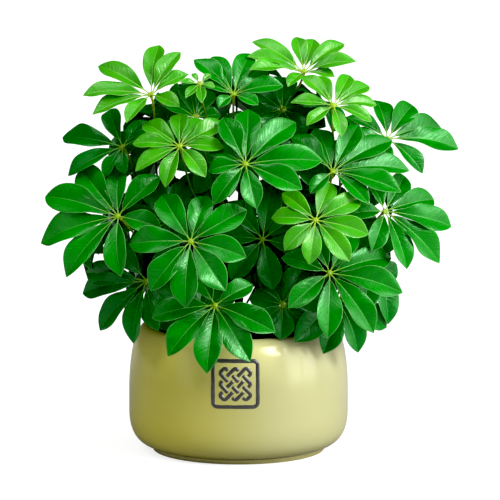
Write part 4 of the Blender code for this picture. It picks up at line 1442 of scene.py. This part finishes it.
class LeafPiece:
    """One palmate leaf: leaflets, hub and stalk in one skin."""

    STALK_ROWS = 26
    STALK_SIDES = 10
    HUB_ROWS = 9
    HUB_SIDES = 28
    RADIUS = 1.12 * MM
    SUNK = 1.2 * MM                # how far the stalk's foot reaches into the stem
    FOOT_SWELL = (0.95 * MM, 4.5 * MM)
    HUB_SWELL = (0.75 * MM, 2.6 * MM)
    KNOB = (2.9 * MM, 1.75 * MM)   # radius and half height
    KNOB_LIFT = 0.1 * MM
    LOBE = 0.16                    # how much further out a lobe stands, as a share
    ROOT_SHARE = 0.92              # of the hub's radius, where a leaflet starts
    MOST_ROOM = 1.5                # radians

    def __init__(self, number: int, leaf: SeenLeaf, node: bpy.types.Object) -> None:
        """Works out the leaf's directions.

        Args:
            number: The leaf's number, from 1.
            leaf: The leaf's plan.
            node: The frame's node of the leaf.
        """
        self.name = f"leaf_{number:02d}"
        self.leaf = leaf
        self.hub = leaf.place()
        self.normal = leaf.normal()
        self.frame = FramePoints(node)
        self.draw = random.Random(1000 + number)
        self.across = self.normal.cross(Vector((0, 0, 1))).normalized()
        self.ahead = self.normal.cross(self.across)

    def angle_of(self, vector: Vector) -> float:
        """Angle of a vector round the leaf's normal."""
        return math.atan2(vector.dot(self.ahead), vector.dot(self.across))

    def in_plane(self, angle: float) -> Vector:
        """Unit vector in the hub's plane at an angle."""
        return self.across * math.cos(angle) + self.ahead * math.sin(angle)

    def leaflets(self) -> list[Leaflet]:
        """The leaflets in order round the hub, bent as the frame has them.

        Returns:
            The leaflets.
        """
        chords = sorted(self.leaf.chords(), key=self.angle_of)
        angles = [self.angle_of(chord) for chord in chords]
        count = len(chords)
        gaps = [(angles[(k + 1) % count] - angles[k]) % FULL_TURN for k in range(count)]
        longest = max(chord.length for chord in chords)
        leaflets = []
        for k, chord in enumerate(chords):
            flat = self.in_plane(angles[k])
            chord = chord - flat * HUB_RADIUS
            lean = self.normal.dot(chord) / chord.length_squared
            up = (self.normal - chord * lean).normalized()
            fullness = NARROWEST_SHARE + (1 - NARROWEST_SHARE) * chord.length / longest
            half = self.leaf.width / 2 * MM * fullness
            room = tuple(min(gap / 2, self.MOST_ROOM) for gap in (gaps[k], gaps[k - 1]))
            root = self.hub + flat * (HUB_RADIUS * self.ROOT_SHARE)
            straight = Leaflet(root, chord, up, half, room)
            found = straight.on_frame(self.frame)
            if self.frame.off(*found.tip()) > MATCH:
                LOG.warning("%s: leaflet %d is off the frame", self.name, k)
            leaflets.append(found)
        return leaflets

    def stalk_line(self, stems: list[Stem]) -> StalkLine:
        """Finds which of the possible stalk routes the frame took.

        Args:
            stems: The plant's stems.

        Returns:
            The stalk's curve.
        """
        end = self.hub - self.normal * HUB_HEIGHT
        best, least = None, math.inf
        for stem, drop, sideways in itertools.product(stems, DROPS, SIDEWAYS):
            height = max(self.hub.z - drop * MM, SOIL_EDGE_HEIGHT + 16 * MM)
            middle, radius, along = stem.at(min(height, stem.points[-1].z - 4 * MM))
            out = end - middle
            out = (out - along * out.dot(along)).normalized()
            out = Matrix.Rotation(math.radians(sideways), 3, along) @ out
            foot = middle + out * (radius + GAP)
            if self.frame.tree.find(foot)[2] > PETIOLE_RADIUS + MATCH:
                continue
            span = (end - foot).length
            for bow in BOWS:
                line = StalkLine(foot, foot + out * (bow * span),
                                 end - self.normal * (bow * span), end)
                off = self.frame.off(*line.frame_corners())
                if off < least:
                    best, least = line, off
        if least > MATCH:
            LOG.warning("%s: its stalk is %.2f mm off the frame", self.name, least / MM)
        return best

    def add_stalk(self, skin: Skin, line: StalkLine, island: Island) -> None:
        """Adds the stalk, thicker at its clasping foot and flared into the hub.

        Args:
            skin: The leaf's skin.
            line: The stalk's curve.
            island: Where it is unwrapped.
        """
        shares = np.linspace(0, 1, self.STALK_ROWS)
        points = np.array([tuple(line.point(share)) for share in shares])
        sunk = np.array(line.foot - line.ahead(0) * self.SUNK)
        points = np.concatenate([sunk[None], points])
        shares = np.concatenate([[0], shares])
        radii = self.RADIUS
        for end, (size, length) in ((points[0], self.FOOT_SWELL), (points[-1], self.HUB_SWELL)):
            away = np.linalg.norm(points - end, axis=1)
            radii = radii + size * np.exp(-(away / length) ** 2)
        rings = sweep(points, radii, self.STALK_SIDES)
        skin.tube(rings, island, 2, first_value(shares[:, None]))

    def add_hub(self, skin: Skin, leaflets: list[Leaflet], island: Island) -> None:
        """Adds the knob that the leaflets' own stalks spring from, with a lobe under each.

        Args:
            skin: The leaf's skin.
            leaflets: The leaflets.
            island: Where it is unwrapped.
        """
        turns = circle(self.HUB_SIDES)
        roots = np.array([self.angle_of(leaflet.root - self.hub) for leaflet in leaflets])
        apart = np.abs((turns[:, None] - roots[None] + math.pi) % FULL_TURN - math.pi).min(1)
        lobes = 1 + self.LOBE * np.cos(np.clip(apart * 6, 0, math.pi))
        rings = []
        for tilt in np.linspace(-0.5 * math.pi, 0.5 * math.pi, self.HUB_ROWS + 2)[1:-1]:
            radius = self.KNOB[0] * math.cos(tilt) ** 0.8
            rise = self.normal * (self.KNOB[1] * math.sin(tilt) + self.KNOB_LIFT)
            outs = radius * (1 + (lobes - 1) * math.cos(tilt))
            rings.append([tuple(self.hub + rise + self.in_plane(a) * out)
                          for a, out in zip(turns, outs)])
        values = np.broadcast_to((1.0, 0, 0), (self.HUB_ROWS, self.HUB_SIDES, 3))
        skin.tube(np.array(rings), island, 2, values)

    def build(self, stems: list[Stem],
              finishes: dict[Age, list[bpy.types.Material]]) -> bpy.types.Object:
        """Makes the leaf.

        Args:
            stems: The plant's stems.
            finishes: The three materials of each age.

        Returns:
            The new object.
        """
        skin = Skin()
        leaflets = self.leaflets()
        tint = 0.7 * self.leaf.tint + 0.3 * self.draw.random()
        width = 1 / len(leaflets)
        for k, leaflet in enumerate(leaflets):
            left, right = k * width, (k + 1) * width
            blade = BladeMaker(leaflet, self.leaf, self.draw)
            blade.add_to(skin, Island(left, 0.52, right, 1), Island(left, 0.12, right, 0.52), tint)
        self.add_stalk(skin, self.stalk_line(stems), Island(0, 0, 0.7, 0.12))
        self.add_hub(skin, leaflets, Island(0.7, 0, 1, 0.12))
        slot = self.leaf.age.value
        return skin.piece(f"{self.name}_fine", finishes[self.leaf.age], slot, self.name)


# Pot, saucer, soil and ornament

THIN_REACH = 2.2 * MM          # how far from a rim the glaze runs thin


def corner(start: Pair, size: Pair, power: float, steps: int, from_angle: float,
           to_angle: float) -> list[Pair]:
    """Points on a superellipse corner.

    Args:
        start: Radius and height of its centre.
        size: Its reach outwards and up.
        power: Its squareness, 2 for an ellipse.
        steps: How many steps.
        from_angle: First angle in degrees from level.
        to_angle: Last angle.

    Returns:
        Radius and height of each point.
    """
    points = []
    for k in range(steps + 1):
        angle = math.radians(from_angle + (to_angle - from_angle) * k / steps)
        out = abs(math.cos(angle)) ** (2 / power) * size[0]
        rise = abs(math.sin(angle)) ** (2 / power) * size[1]
        points.append((start[0] + out, start[1] + math.copysign(rise, angle)))
    return points


def arc(centre: Pair, radius: float, from_angle: float, to_angle: float,
        steps: int = 6) -> list[Pair]:
    """Points on a round arc.

    Args:
        centre: Radius and height of its centre.
        radius: Its own radius.
        from_angle: First angle in degrees from level.
        to_angle: Last angle.
        steps: How many steps.

    Returns:
        Radius and height of each point.
    """
    points = []
    for k in range(steps + 1):
        angle = math.radians(from_angle + (to_angle - from_angle) * k / steps)
        points.append((centre[0] + radius * math.cos(angle), centre[1] + radius * math.sin(angle)))
    return points


def turned(outline: list[Pair], sides: int, edges: tuple[Pair, ...] = ()) -> Skin:
    """Turns a closed outline about the Z axis.

    Args:
        outline: Radius and height of each point, anticlockwise.
        sides: Points round the axis.
        edges: Radius and height of the rims where glaze runs thin.

    Returns:
        The skin, with closeness to a rim in its first value.
    """
    skin = Skin()
    rows = np.array(outline + outline[:1])
    turns = np.arange(sides + 1) * FULL_TURN / sides
    places = np.stack([np.outer(rows[:, 0], np.cos(turns)), np.outer(rows[:, 0], np.sin(turns)),
                       np.repeat(rows[:, 1:], sides + 1, 1)], -1)
    near = np.zeros(len(rows))
    for rim in edges:
        distance = np.linalg.norm(rows - np.array(rim), axis=1)
        near = np.maximum(near, np.exp(-(distance / THIN_REACH) ** 2))
    numbers = skin.add(places[:, :-1], first_value(near[:, None]))
    numbers = np.concatenate([numbers, numbers[:, :1]], 1)
    numbers[-1] = numbers[0]
    for row, radius in enumerate(rows[:, 0]):
        if radius == 0:
            numbers[row] = numbers[row, 0]
    run = run_length(rows)
    across, along = turns[None, :] / FULL_TURN, (run / run[-1])[:, None]
    unwrapped = Island(0, 0, 1, 1).spread(across, along)
    skin.patch(numbers, unwrapped, 0, turned_over=True)
    return skin


@dataclass
class Saucer:
    """A low tray with softened edges."""

    radius: float = 86 * MM
    height: float = 4.4 * MM
    floor: float = 2.4 * MM
    wall: float = 3.0 * MM
    edge: float = 0.9 * MM         # radius of its soft edges
    hollow: float = 0.4 * MM       # how far its middle stands clear of the ground
    sides: int = 144

    def build(self, glaze: bpy.types.Material) -> bpy.types.Object:
        """Makes the saucer.

        Args:
            glaze: The glaze.

        Returns:
            The new object.
        """
        soft = self.edge
        inner = self.radius - self.wall
        outline = [(0, self.hollow), (0.6 * self.radius, self.hollow), (0.62 * self.radius, 0)]
        outline += arc((self.radius - soft, soft), soft, -90, 0)
        outline += arc((self.radius - soft, self.height - soft), soft, 0, 90)
        outline += arc((inner + soft, self.height - soft), soft, 90, 180)
        outline += arc((inner - soft, self.floor + soft), soft, 0, -90)[1:]
        outline += [(0.5 * inner, self.floor), (0, self.floor)]
        rim = (self.radius - self.wall / 2, self.height)
        skin = turned(outline, self.sides, (rim,))
        return skin.piece("saucer_fine", [glaze], "saucer_glaze", "saucer")


@dataclass
class Pot:
    """A thick-walled squat pot with a round belly and a rolled-in rim."""

    foot: float = 2.7 * MM
    foot_height: float = 2.3 * MM
    foot_radius: float = 81.5 * MM
    radius: float = 109.7 * MM
    belly_low: float = 42.5 * MM
    belly_high: float = 60 * MM
    height: float = 127.5 * MM
    mouth: float = 91 * MM
    wall: float = 6 * MM
    floor: float = 8 * MM
    drain: float = 8 * MM
    recess: float = 1.2 * MM       # how far the underside lies over the foot ring
    ring_edge: float = 1.0 * MM    # radius of the foot ring's edges
    lip: float = 3.4 * MM          # radius of the rolled rim
    lip_foot: float = 2 * MM       # radius of the round under the rim, inside
    low_power: float = 2.5
    high_power: float = 2.2
    sides: int = 192

    def side(self, inset: float, foot: float, crown: float, steps: int, last: float) -> list[Pair]:
        """The pot's side from its foot up to its rim, moved in from the outside.

        Args:
            inset: How far it is moved in.
            foot: Height where it starts.
            crown: Height where it would close.
            steps: Steps in each of its two corners.
            last: Last angle of the shoulder in degrees.

        Returns:
            Radius and height of each point.
        """
        low = corner((self.foot_radius, self.belly_low),
                     (self.radius - self.foot_radius - inset, self.belly_low - foot),
                     self.low_power, steps, -90, 0)
        high = corner((self.mouth, self.belly_high),
                      (self.radius - self.mouth - inset, crown - self.belly_high),
                      self.high_power, steps, 0, last)
        return low + high

    def radius_at(self, height: float) -> float:
        """Outer radius of the shoulder at a height.

        Args:
            height: The height.

        Returns:
            The radius.
        """
        share = (height - self.belly_high) / (self.height - self.belly_high)
        out = (1 - max(0.0, share) ** self.high_power) ** (1 / self.high_power)
        return self.mouth + (self.radius - self.mouth) * out

    def build(self, glaze: bpy.types.Material) -> bpy.types.Object:
        """Makes the pot.

        Args:
            glaze: The glaze.

        Returns:
            The new object.
        """
        start = self.foot + self.foot_height
        lip, soft = self.lip, self.lip_foot
        under = self.foot + self.recess
        ring = self.foot + self.ring_edge
        outline = [(self.drain, under), (self.foot_radius - 9 * MM, under)]
        outline += arc((self.foot_radius - 6 * MM, ring), self.ring_edge, 180, 270, 4)
        outline += arc((self.foot_radius - 3 * MM, ring), self.ring_edge, -90, -20, 4)
        outline += self.side(0, start, self.height, 26, 90)
        outline += arc((self.mouth, self.height - lip), lip, 90, 180, 10)[1:]
        inner = self.side(self.wall, self.foot + self.floor, self.height - 3 * MM, 14, 78)
        inner = [point for point in inner if point[1] < self.height - 9 * MM]
        outline += arc((self.mouth - lip + soft, self.height - 8 * MM), soft, 180, 255, 5)
        outline += inner[::-1] + [(self.drain, self.foot + self.floor)]
        rim = (self.mouth - 0.6 * lip, self.height - 0.3 * lip)
        skin = turned(outline, self.sides, (rim, (self.foot_radius, start)))
        return skin.piece("pot_fine", [glaze], "pot_glaze", "pot")


@dataclass
class Soil:
    """Potting soil with a crumbly top, crumbs and grit lying on it.

    A relief is a pair: lumps in a metre, and their height.
    """

    ROUGH = (140, 1.1 * MM)
    CLODS = (45, 1.6 * MM)
    EDGE_DROP = 0.8 * MM
    CRUMB_SIZES = (0.9, 2.6)       # millimetres
    CRUMB_STRETCHES = ((0.8, 1.7), (0.7, 1.1), (0.5, 0.9))
    CRUMB_CELL = 0.06              # side of a crumb's cell in the unwrapped square
    BED_FROM = 0.25                # lower side of the bed's part of that square
    SEED = 7

    pot: Pot
    edge: float = 98.6 * MM
    rings: int = 44
    sides: int = 132
    crumbs: int = 420
    lump_rows: int = 5
    lump_sides: int = 7

    def height_at(self, x: float, y: float) -> float:
        """Height of the crumbly surface at a place.

        Args:
            x: To the right.
            y: To the back.

        Returns:
            The height.
        """
        share = math.hypot(x, y) / self.edge
        dome = SOIL_CROWN * (1 - share * share)
        rough = noise.fractal(Vector((x, y, 0.3)) * self.ROUGH[0], 0.7, 2.1, 4) * self.ROUGH[1]
        clods = noise.noise(Vector((x, y, 1.7)) * self.CLODS[0]) * self.CLODS[1]
        return SOIL_EDGE_HEIGHT + dome + rough + clods - self.EDGE_DROP * share ** 6

    def build(self, finish: bpy.types.Material) -> bpy.types.Object:
        """Makes the soil with its crumbs.

        Args:
            finish: The soil's material.

        Returns:
            The new object.
        """
        skin = Skin()
        self.add_bed(skin)
        draw = random.Random(self.SEED)
        for _ in range(self.crumbs):
            self.add_crumb(skin, draw)
        return skin.piece("soil_crumbly", [finish], "soil", "soil")

    def add_bed(self, skin: Skin) -> None:
        """Adds the closed bed: a rough top over a plain underside that fills the pot.

        Args:
            skin: The soil's skin.
        """
        floor = self.pot.foot + self.pot.floor + GAP
        side = self.pot.side(self.pot.wall + GAP, floor, self.pot.height - 3.3 * MM, 6, 78)
        side = [point for point in side if point[1] < SOIL_EDGE_HEIGHT - 4 * MM]
        ways = [(math.cos(a), math.sin(a)) for a in circle(self.sides)]
        rows = [[(radius * x, radius * y, height) for x, y in ways]
                for radius, height in [(0, floor)] + side]
        for radius in np.linspace(1, 0, self.rings) ** 0.9 * self.edge:
            flat = [(radius * x, radius * y) for x, y in ways]
            rows.append([(x, y, self.height_at(x, y)) for x, y in flat])
        numbers = skin.add(np.array(rows))
        numbers[0], numbers[-1] = numbers[0, 0], numbers[-1, 0]
        numbers = np.concatenate([numbers, numbers[:, :1]], 1)
        skin.wrap(numbers, Island(0, self.BED_FROM, 1, 1), 0, turned_over=True)

    def add_crumb(self, skin: Skin, draw: random.Random) -> None:
        """Adds one irregular lump that lies on the bed.

        Args:
            skin: The soil's skin.
            draw: Source of the draws.
        """
        radius = self.edge * 0.97 * math.sqrt(draw.random())
        angle = draw.uniform(0, FULL_TURN)
        x, y = radius * math.cos(angle), radius * math.sin(angle)
        size = draw.uniform(*self.CRUMB_SIZES) * MM
        kind = draw.random()
        shift = Vector([draw.uniform(0, 50) for _ in range(3)])
        stretch = [draw.uniform(*span) for span in self.CRUMB_STRETCHES]
        turn = Matrix.Rotation(draw.uniform(0, FULL_TURN), 3, "Z")
        turn = turn @ Matrix.Rotation(draw.uniform(-0.5, 0.5), 3, "X")
        middle = Vector((x, y, self.height_at(x, y) + 0.25 * size))
        rings = []
        for tilt in np.linspace(-1.2, 1.2, self.lump_rows):
            level = math.cos(tilt)
            ring = []
            for a in circle(self.lump_sides):
                out = Vector((math.cos(a) * level, math.sin(a) * level, math.sin(tilt)))
                bump = 1 + 0.45 * noise.noise(out * 1.7 + shift)
                local = [part * factor for part, factor in zip(out * (bump * size), stretch)]
                ring.append(tuple(middle + turn @ Vector(local)))
            rings.append(ring)
        cell = self.CRUMB_CELL
        left = draw.random() * (1 - cell)
        low = draw.random() * (self.BED_FROM - cell)
        skin.tube(np.array(rings), Island(left, low, left + cell, low + cell), 0,
                  growth=np.array((kind, 0, 0)))


def half_corner(before: np.ndarray, here: np.ndarray, after: np.ndarray) -> float:
    """Half the angle at a corner between the ways to its neighbours.

    Args:
        before: The corner before it.
        here: The corner.
        after: The corner after it.

    Returns:
        The half angle in radians.
    """
    cosine = float(np.clip(unit(before - here) @ unit(after - here), -1, 1))
    return math.acos(cosine) / 2


@dataclass
class KnotOrnament:
    """A raised woven knot in a frame with round corners, on the front of the pot.

    Its strands run at 45 degrees in a square, turn at the square's sides and pass over and under
    each other in turn.
    """

    FRAME_GAP = 1.9 * MM           # between the frame and the strands
    STRAND_CORNER = 2.4 * MM
    UNDER_RISE = -0.2 * MM         # height over the glaze where a strand passes under
    RAMP = 1.1 * MM                # length over which a strand climbs from there
    BRUSH_WIDTH = 0.11             # how uneven the width is, as a share
    BRUSH_SHIFT = 0.25 * MM
    CROWN_POWER = 3.2
    ROOT = 0.4 * MM                # how much deeper than its sides a stroke reaches
    SLIP_WIDER = 1.3 * MM
    SLIP_LOWER = 0.55 * MM
    CORNER_POINTS = 9

    pot: Pot
    middle: float = -3.0 * MM          # to the right of the pot's middle
    width: float = 49 * MM
    low: float = 60.6 * MM
    high: float = 110.6 * MM
    frame_stroke: float = 4.6 * MM
    strand_stroke: float = 4.4 * MM
    frame_corner: float = 4.5 * MM
    relief: float = 0.75 * MM
    sunk: float = 0.5 * MM
    gap: float = 0.7 * MM              # bare glaze on each side of an upper strand
    cells: int = 3
    step: float = 0.7 * MM
    shares: tuple[float, ...] = (-1, -0.92, -0.7, -0.35, 0, 0.35, 0.7, 0.92, 1)
    seed: float = 3.7

    def on_pot(self, across: float, height: float, rise: float) -> Place:
        """The place over the pot's outside for a point of the front view.

        Args:
            across: To the right of the pot's middle.
            height: Height on the pot.
            rise: Distance out from the glaze.

        Returns:
            The place in space.
        """
        radius = self.pot.radius_at(height)
        lean = (self.pot.radius_at(height + MM) - self.pot.radius_at(height - MM)) / (2 * MM)
        depth = math.sqrt(radius * radius - across * across)
        normal = Vector((across / radius, -depth / radius, -lean)).normalized()
        return tuple(Vector((across, -depth, height)) + normal * rise)

    def rounded(self, corners: list[Pair], radius: float) -> np.ndarray:
        """A closed line through corners that are rounded off.

        Args:
            corners: The corners in order.
            radius: Radius of the round corners.

        Returns:
            Points about one step apart.
        """
        points = []
        places = [np.array(place) for place in corners]
        count = len(places)
        for k in range(count):
            before, here, after, later = (places[(k + j) % count] for j in (-1, 0, 1, 2))
            to_before, to_after = unit(before - here), unit(after - here)
            half = half_corner(before, here, after)
            back = radius / math.tan(half)
            start, end = here + to_before * back, here + to_after * back
            centre = here + unit(to_before + to_after) * (radius / math.sin(half))
            for t in np.linspace(0, 1, self.CORNER_POINTS):
                points.append(centre + unit(start + (end - start) * t - centre) * radius)
            stop = after - to_after * (radius / math.tan(half_corner(here, after, later)))
            steps = max(2, int(np.linalg.norm(stop - end) / self.step))
            points.extend(end + (stop - end) * t for t in np.linspace(0, 1, steps + 1)[1:-1])
        return np.array(points)

    def strands(self) -> list[list[Pair]]:
        """Corners of the closed strands, in cells of the square.

        Returns:
            The corners of each strand.
        """
        size = self.cells
        strands, used = [], set()
        for k in range(size):
            place, step = (k + 0.5, 0.0), (1, 1)
            corners = []
            while place not in corners:
                corners.append(place)
                run = min((size - p) if s > 0 else p for p, s in zip(place, step))
                place = tuple(p + run * s for p, s in zip(place, step))
                step = tuple(-s if (p <= 0 and s < 0) or (p >= size and s > 0) else s
                             for p, s in zip(place, step))
            if not used & set(corners):
                strands.append(corners)
            used |= set(corners)
        return strands

    def under_places(self, upwards: bool) -> list[Pair]:
        """The crossings where a strand passes under the other.

        Args:
            upwards: Whether a strand that climbs is meant, or one that falls.

        Returns:
            The crossings' places, in cells of the square.
        """
        places = []
        offsets = [k + 0.5 - self.cells for k in range(2 * self.cells)]
        for i, difference in enumerate(offsets):
            for j, total in enumerate(offset + self.cells for offset in offsets):
                x, y = (total + difference) / 2, (total - difference) / 2
                if 0 < x < self.cells and 0 < y < self.cells and ((i + j) % 2 == 1) == upwards:
                    places.append((x, y))
        return places

    def stroke(self, skin: Skin, line: np.ndarray, width: float, rises: np.ndarray,
               island: Island) -> None:
        """Adds one closed brush stroke along a line of the front view.

        Args:
            skin: The ornament's skin.
            line: Points to the right and up.
            width: The stroke's width.
            rises: Height over the glaze at each point.
            island: Where it is unwrapped.
        """
        ahead = unit(np.roll(line, -1, 0) - np.roll(line, 1, 0))
        across = np.stack([-ahead[:, 1], ahead[:, 0]], -1)
        rows = []
        for (x, y), side, rise in zip(line, across, rises):
            brush = 1 + self.BRUSH_WIDTH * noise.noise(Vector((x * 220, y * 220, self.seed)))
            shift = noise.noise(Vector((x * 120, y * 120, self.seed + 9)))
            shift = self.BRUSH_SHIFT * shift
            tall = rise + self.sunk
            profile = [(share, tall * (1 - abs(share) ** self.CROWN_POWER) - self.sunk)
                       for share in self.shares]
            profile += [(share, -self.sunk - self.ROOT) for share in (1, -1)]
            row = []
            for share, height in profile:
                flat = np.array((x, y)) + side * (share * width / 2 * brush + shift)
                row.append(self.on_pot(flat[0], flat[1], height))
            rows.append(row)
        # How near the stroke's crown each point lies, where the enamel paints a highlight
        ridge = np.array([1 - abs(share) for share in self.shares] + [0, 0])
        numbers = skin.add(np.array(rows), first_value(ridge))
        numbers = np.concatenate([numbers, numbers[:, :1]], 1)
        numbers = np.concatenate([numbers, numbers[:1]])
        skin.wrap(numbers, island)

    def lines(self) -> list[tuple[np.ndarray, float, np.ndarray]]:
        """Each stroke's line, width and rise over the glaze: the frame first, then the strands.

        Returns:
            A line, a width and rises for each stroke.
        """
        half = self.frame_stroke / 2
        left, right = self.middle - self.width / 2 + half, self.middle + self.width / 2 - half
        low, high = self.low + half, self.high - half
        frame = self.rounded([(left, low), (right, low), (right, high), (left, high)],
                             self.frame_corner)
        found = [(frame, self.frame_stroke, np.full(len(frame), self.relief))]
        inset = half + self.strand_stroke / 2 + self.FRAME_GAP
        wide, tall = (right - left - 2 * inset) / self.cells, (high - low - 2 * inset) / self.cells

        def placed(spots: list[Pair]) -> list[Pair]:
            """Places on the pot's front of some places in cells of the square."""
            return [(left + inset + x * wide, low + inset + y * tall) for x, y in spots]

        unders = {climbs: placed(self.under_places(climbs)) for climbs in (True, False)}
        clear = self.strand_stroke / 2 + self.gap
        for strand in self.strands():
            line = self.rounded(placed(strand), self.STRAND_CORNER)
            ahead = np.roll(line, -1, 0) - np.roll(line, 1, 0)
            near = np.array([min(math.dist(place, under) for under in unders[dx * dy > 0])
                             for place, (dx, dy) in zip(line, ahead)])
            share = smooth_step(clear, clear + self.RAMP, near)
            rises = self.UNDER_RISE + (self.relief - self.UNDER_RISE) * share
            found.append((line, self.strand_stroke, rises))
        return found

    def build(self, enamel: bpy.types.Material,
              slip: bpy.types.Material) -> list[bpy.types.Object]:
        """Makes the enamel strokes and the wider, lower line of slip under them.

        Args:
            enamel: The strokes' material.
            slip: The material of the line under them.

        Returns:
            Both new objects.
        """
        made = []
        lines = self.lines()
        for name, finish, wider, lower in (
                ("knot_enamel", enamel, 0.0, 0.0),
                ("knot_slip", slip, self.SLIP_WIDER, self.SLIP_LOWER)):
            skin = Skin()
            for k, (line, width, rises) in enumerate(lines):
                island = Island(k / len(lines), 0, (k + 1) / len(lines), 1)
                self.stroke(skin, line, width + wider, rises - lower, island)
            made.append(skin.piece(name, [finish], "pot_glaze"))
        return made


# Studio


def aimed(name: str, data: bpy.types.ID, toward: Vector,
          place: Vector | None = None) -> bpy.types.Object:
    """Adds a lamp or a camera.

    Args:
        name: Its name.
        data: The light or camera data.
        toward: Direction that it looks in.
        place: Where it stands, or None where that has no effect.

    Returns:
        The new object.
    """
    made = bpy.data.objects.new(name, data)
    if place is not None:
        made.location = place
    made.rotation_mode = "QUATERNION"
    made.rotation_quaternion = toward.to_track_quat("-Z", "Y")
    bpy.context.scene.collection.objects.link(made)
    return made


@dataclass(frozen=True)
class Sun:
    """A sun lamp as wide as a softbox; its direction and width are in degrees."""

    name: str
    direction: Pair
    strength: float
    width: float

    def build(self) -> None:
        """Adds the lamp."""
        lamp = bpy.data.lights.new(self.name, "SUN")
        lamp.energy = self.strength
        lamp.angle = math.radians(self.width)
        aimed(self.name, lamp, -facing_vector(*self.direction))


@dataclass(frozen=True)
class Panel:
    """A rectangular softbox that faces the pot; its direction is in degrees, its power in watts."""

    AIM = Vector((0, 0, 0.15))

    name: str
    direction: Pair
    distance: float
    size: Pair
    power: float

    def build(self) -> None:
        """Adds the lamp."""
        lamp = bpy.data.lights.new(self.name, "AREA")
        lamp.shape = "RECTANGLE"
        lamp.size, lamp.size_y = self.size
        lamp.energy = self.power
        place = facing_vector(*self.direction) * self.distance
        aimed(self.name, lamp, self.AIM - place, place)


LIGHTS = (
    Sun("key", (46, 36), 2.70, 24),
    Sun("left_fill", (-54, 52), 0.78, 24),
    Sun("overhead", (-10, 74), 0.65, 32),
    Panel("side_panel", (88, 16), 1.75, (1.9, 1.4), 6.6),
    Panel("left_strip", (-58, 12), 1.6, (0.5, 1.1), 1.3),
    Panel("window_1", (60, 22), 1.5, (0.42, 1.15), 4.5),
    Panel("window_2", (80, 22), 1.5, (0.42, 1.15), 4.5),
)


@dataclass
class Studio:
    """A plain pale floor, suns and soft panels, even light all round, and the camera."""

    distance: float = 9.0
    frame_width: float = 0.5
    sensor: float = 36.0
    clip_end: float = 100.0
    aim: Place = (0.0115, 0.0, 0.2016)
    floor_radius: float = 9.0
    floor_sides: int = 96
    floor_drop: float = 0.2 * MM
    floor_greys: Pair = (0.38, 0.40)
    floor_glow: float = 0.80       # what the camera sees of it besides the lamps' light
    shadow_light: float = 0.36     # strength of the surroundings for rays that scatter
    mirrored_light: float = 0.05   # and for rays that a glossy skin sends out
    black_level: float = 0.015

    def build(self) -> None:
        """Sets up the floor, lights, surroundings and camera."""
        self.add_floor()
        for light in LIGHTS:
            light.build()
        self.add_surroundings()
        self.add_camera()
        view = bpy.context.scene.view_settings
        view.view_transform = "Standard"
        view.use_curve_mapping = True
        view.curve_mapping.black_level = (self.black_level,) * 3

    def add_floor(self) -> None:
        """Adds the floor, a disc with a fine grain that glows for the camera's own rays."""
        points = [(self.floor_radius * math.cos(a), self.floor_radius * math.sin(a),
                   -self.floor_drop) for a in circle(self.floor_sides)]
        mesh = bpy.data.meshes.new("floor")
        mesh.from_pydata(points, [], [tuple(range(self.floor_sides))])
        paint = Paint("floor_paper")
        dark, light = ((grey,) * 3 for grey in self.floor_greys)
        colour = paint.mix(paint.patches(60, 2, 0.3, 0.7), dark, light)
        seen = paint.add("ShaderNodeLightPath", {}).outputs["Is Camera Ray"]
        glow = paint.sum("MULTIPLY", seen, self.floor_glow)
        mesh.materials.append(paint.finish(colour, 0.9, Specular_IOR_Level=0.0,
                                           Emission_Color=(1, 1, 1), Emission_Strength=glow))
        floor = bpy.data.objects.new("floor", mesh)
        bpy.context.scene.collection.objects.link(floor)

    def add_surroundings(self) -> None:
        """Lights the shadows softly, and shows plain white behind the plant."""
        world = bpy.data.worlds.new("studio")
        bpy.context.scene.world = world
        world.use_nodes = True
        nodes, links = world.node_tree.nodes, world.node_tree.links
        background = nodes["Background"]
        background.inputs["Color"].default_value = (1, 1, 1, 1)
        path = nodes.new("ShaderNodeLightPath")
        mirrored = nodes.new("ShaderNodeMapRange")
        mirrored.inputs["To Min"].default_value = self.shadow_light
        mirrored.inputs["To Max"].default_value = self.mirrored_light
        strength = nodes.new("ShaderNodeMapRange")
        links.new(path.outputs["Is Glossy Ray"], mirrored.inputs["Value"])
        links.new(mirrored.outputs[0], strength.inputs["To Min"])
        links.new(path.outputs["Is Camera Ray"], strength.inputs["Value"])
        links.new(strength.outputs[0], background.inputs["Strength"])

    def add_camera(self) -> None:
        """Adds the camera, far away behind a long lens."""
        lens = bpy.data.cameras.new("camera")
        lens.sensor_width = self.sensor
        lens.lens = self.sensor * self.distance / self.frame_width
        lens.clip_end = self.clip_end
        place = Vector(self.aim) + TO_VIEWER * self.distance
        bpy.context.scene.camera = aimed("camera", lens, -TO_VIEWER, place)


def main() -> None:
    logging.basicConfig(level=logging.INFO, format="%(message)s")
    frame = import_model()
    nodes = frame["nodes"]
    pot = Pot()
    Saucer().build(SAUCER_GLAZE.material())
    pot.build(GlazeFinish("pot_glaze").material())
    KnotOrnament(pot).build(EnamelFinish().material(), SlipFinish().material())
    Soil(pot).build(SoilFinish().material())
    stems = Stems().plan()
    bark = BarkFinish().material()
    for number, stem in enumerate(stems):
        stem.build(bark, number)
    finishes = {age: finish.materials() for age, finish in LEAF_FINISHES.items()}
    for number, leaf in enumerate(all_leaves(), start=1):
        LeafPiece(number, leaf, nodes[f"leaf_{number:02d}"]).build(stems, finishes)
    Studio().build()


if __name__ == "__main__":
    main()
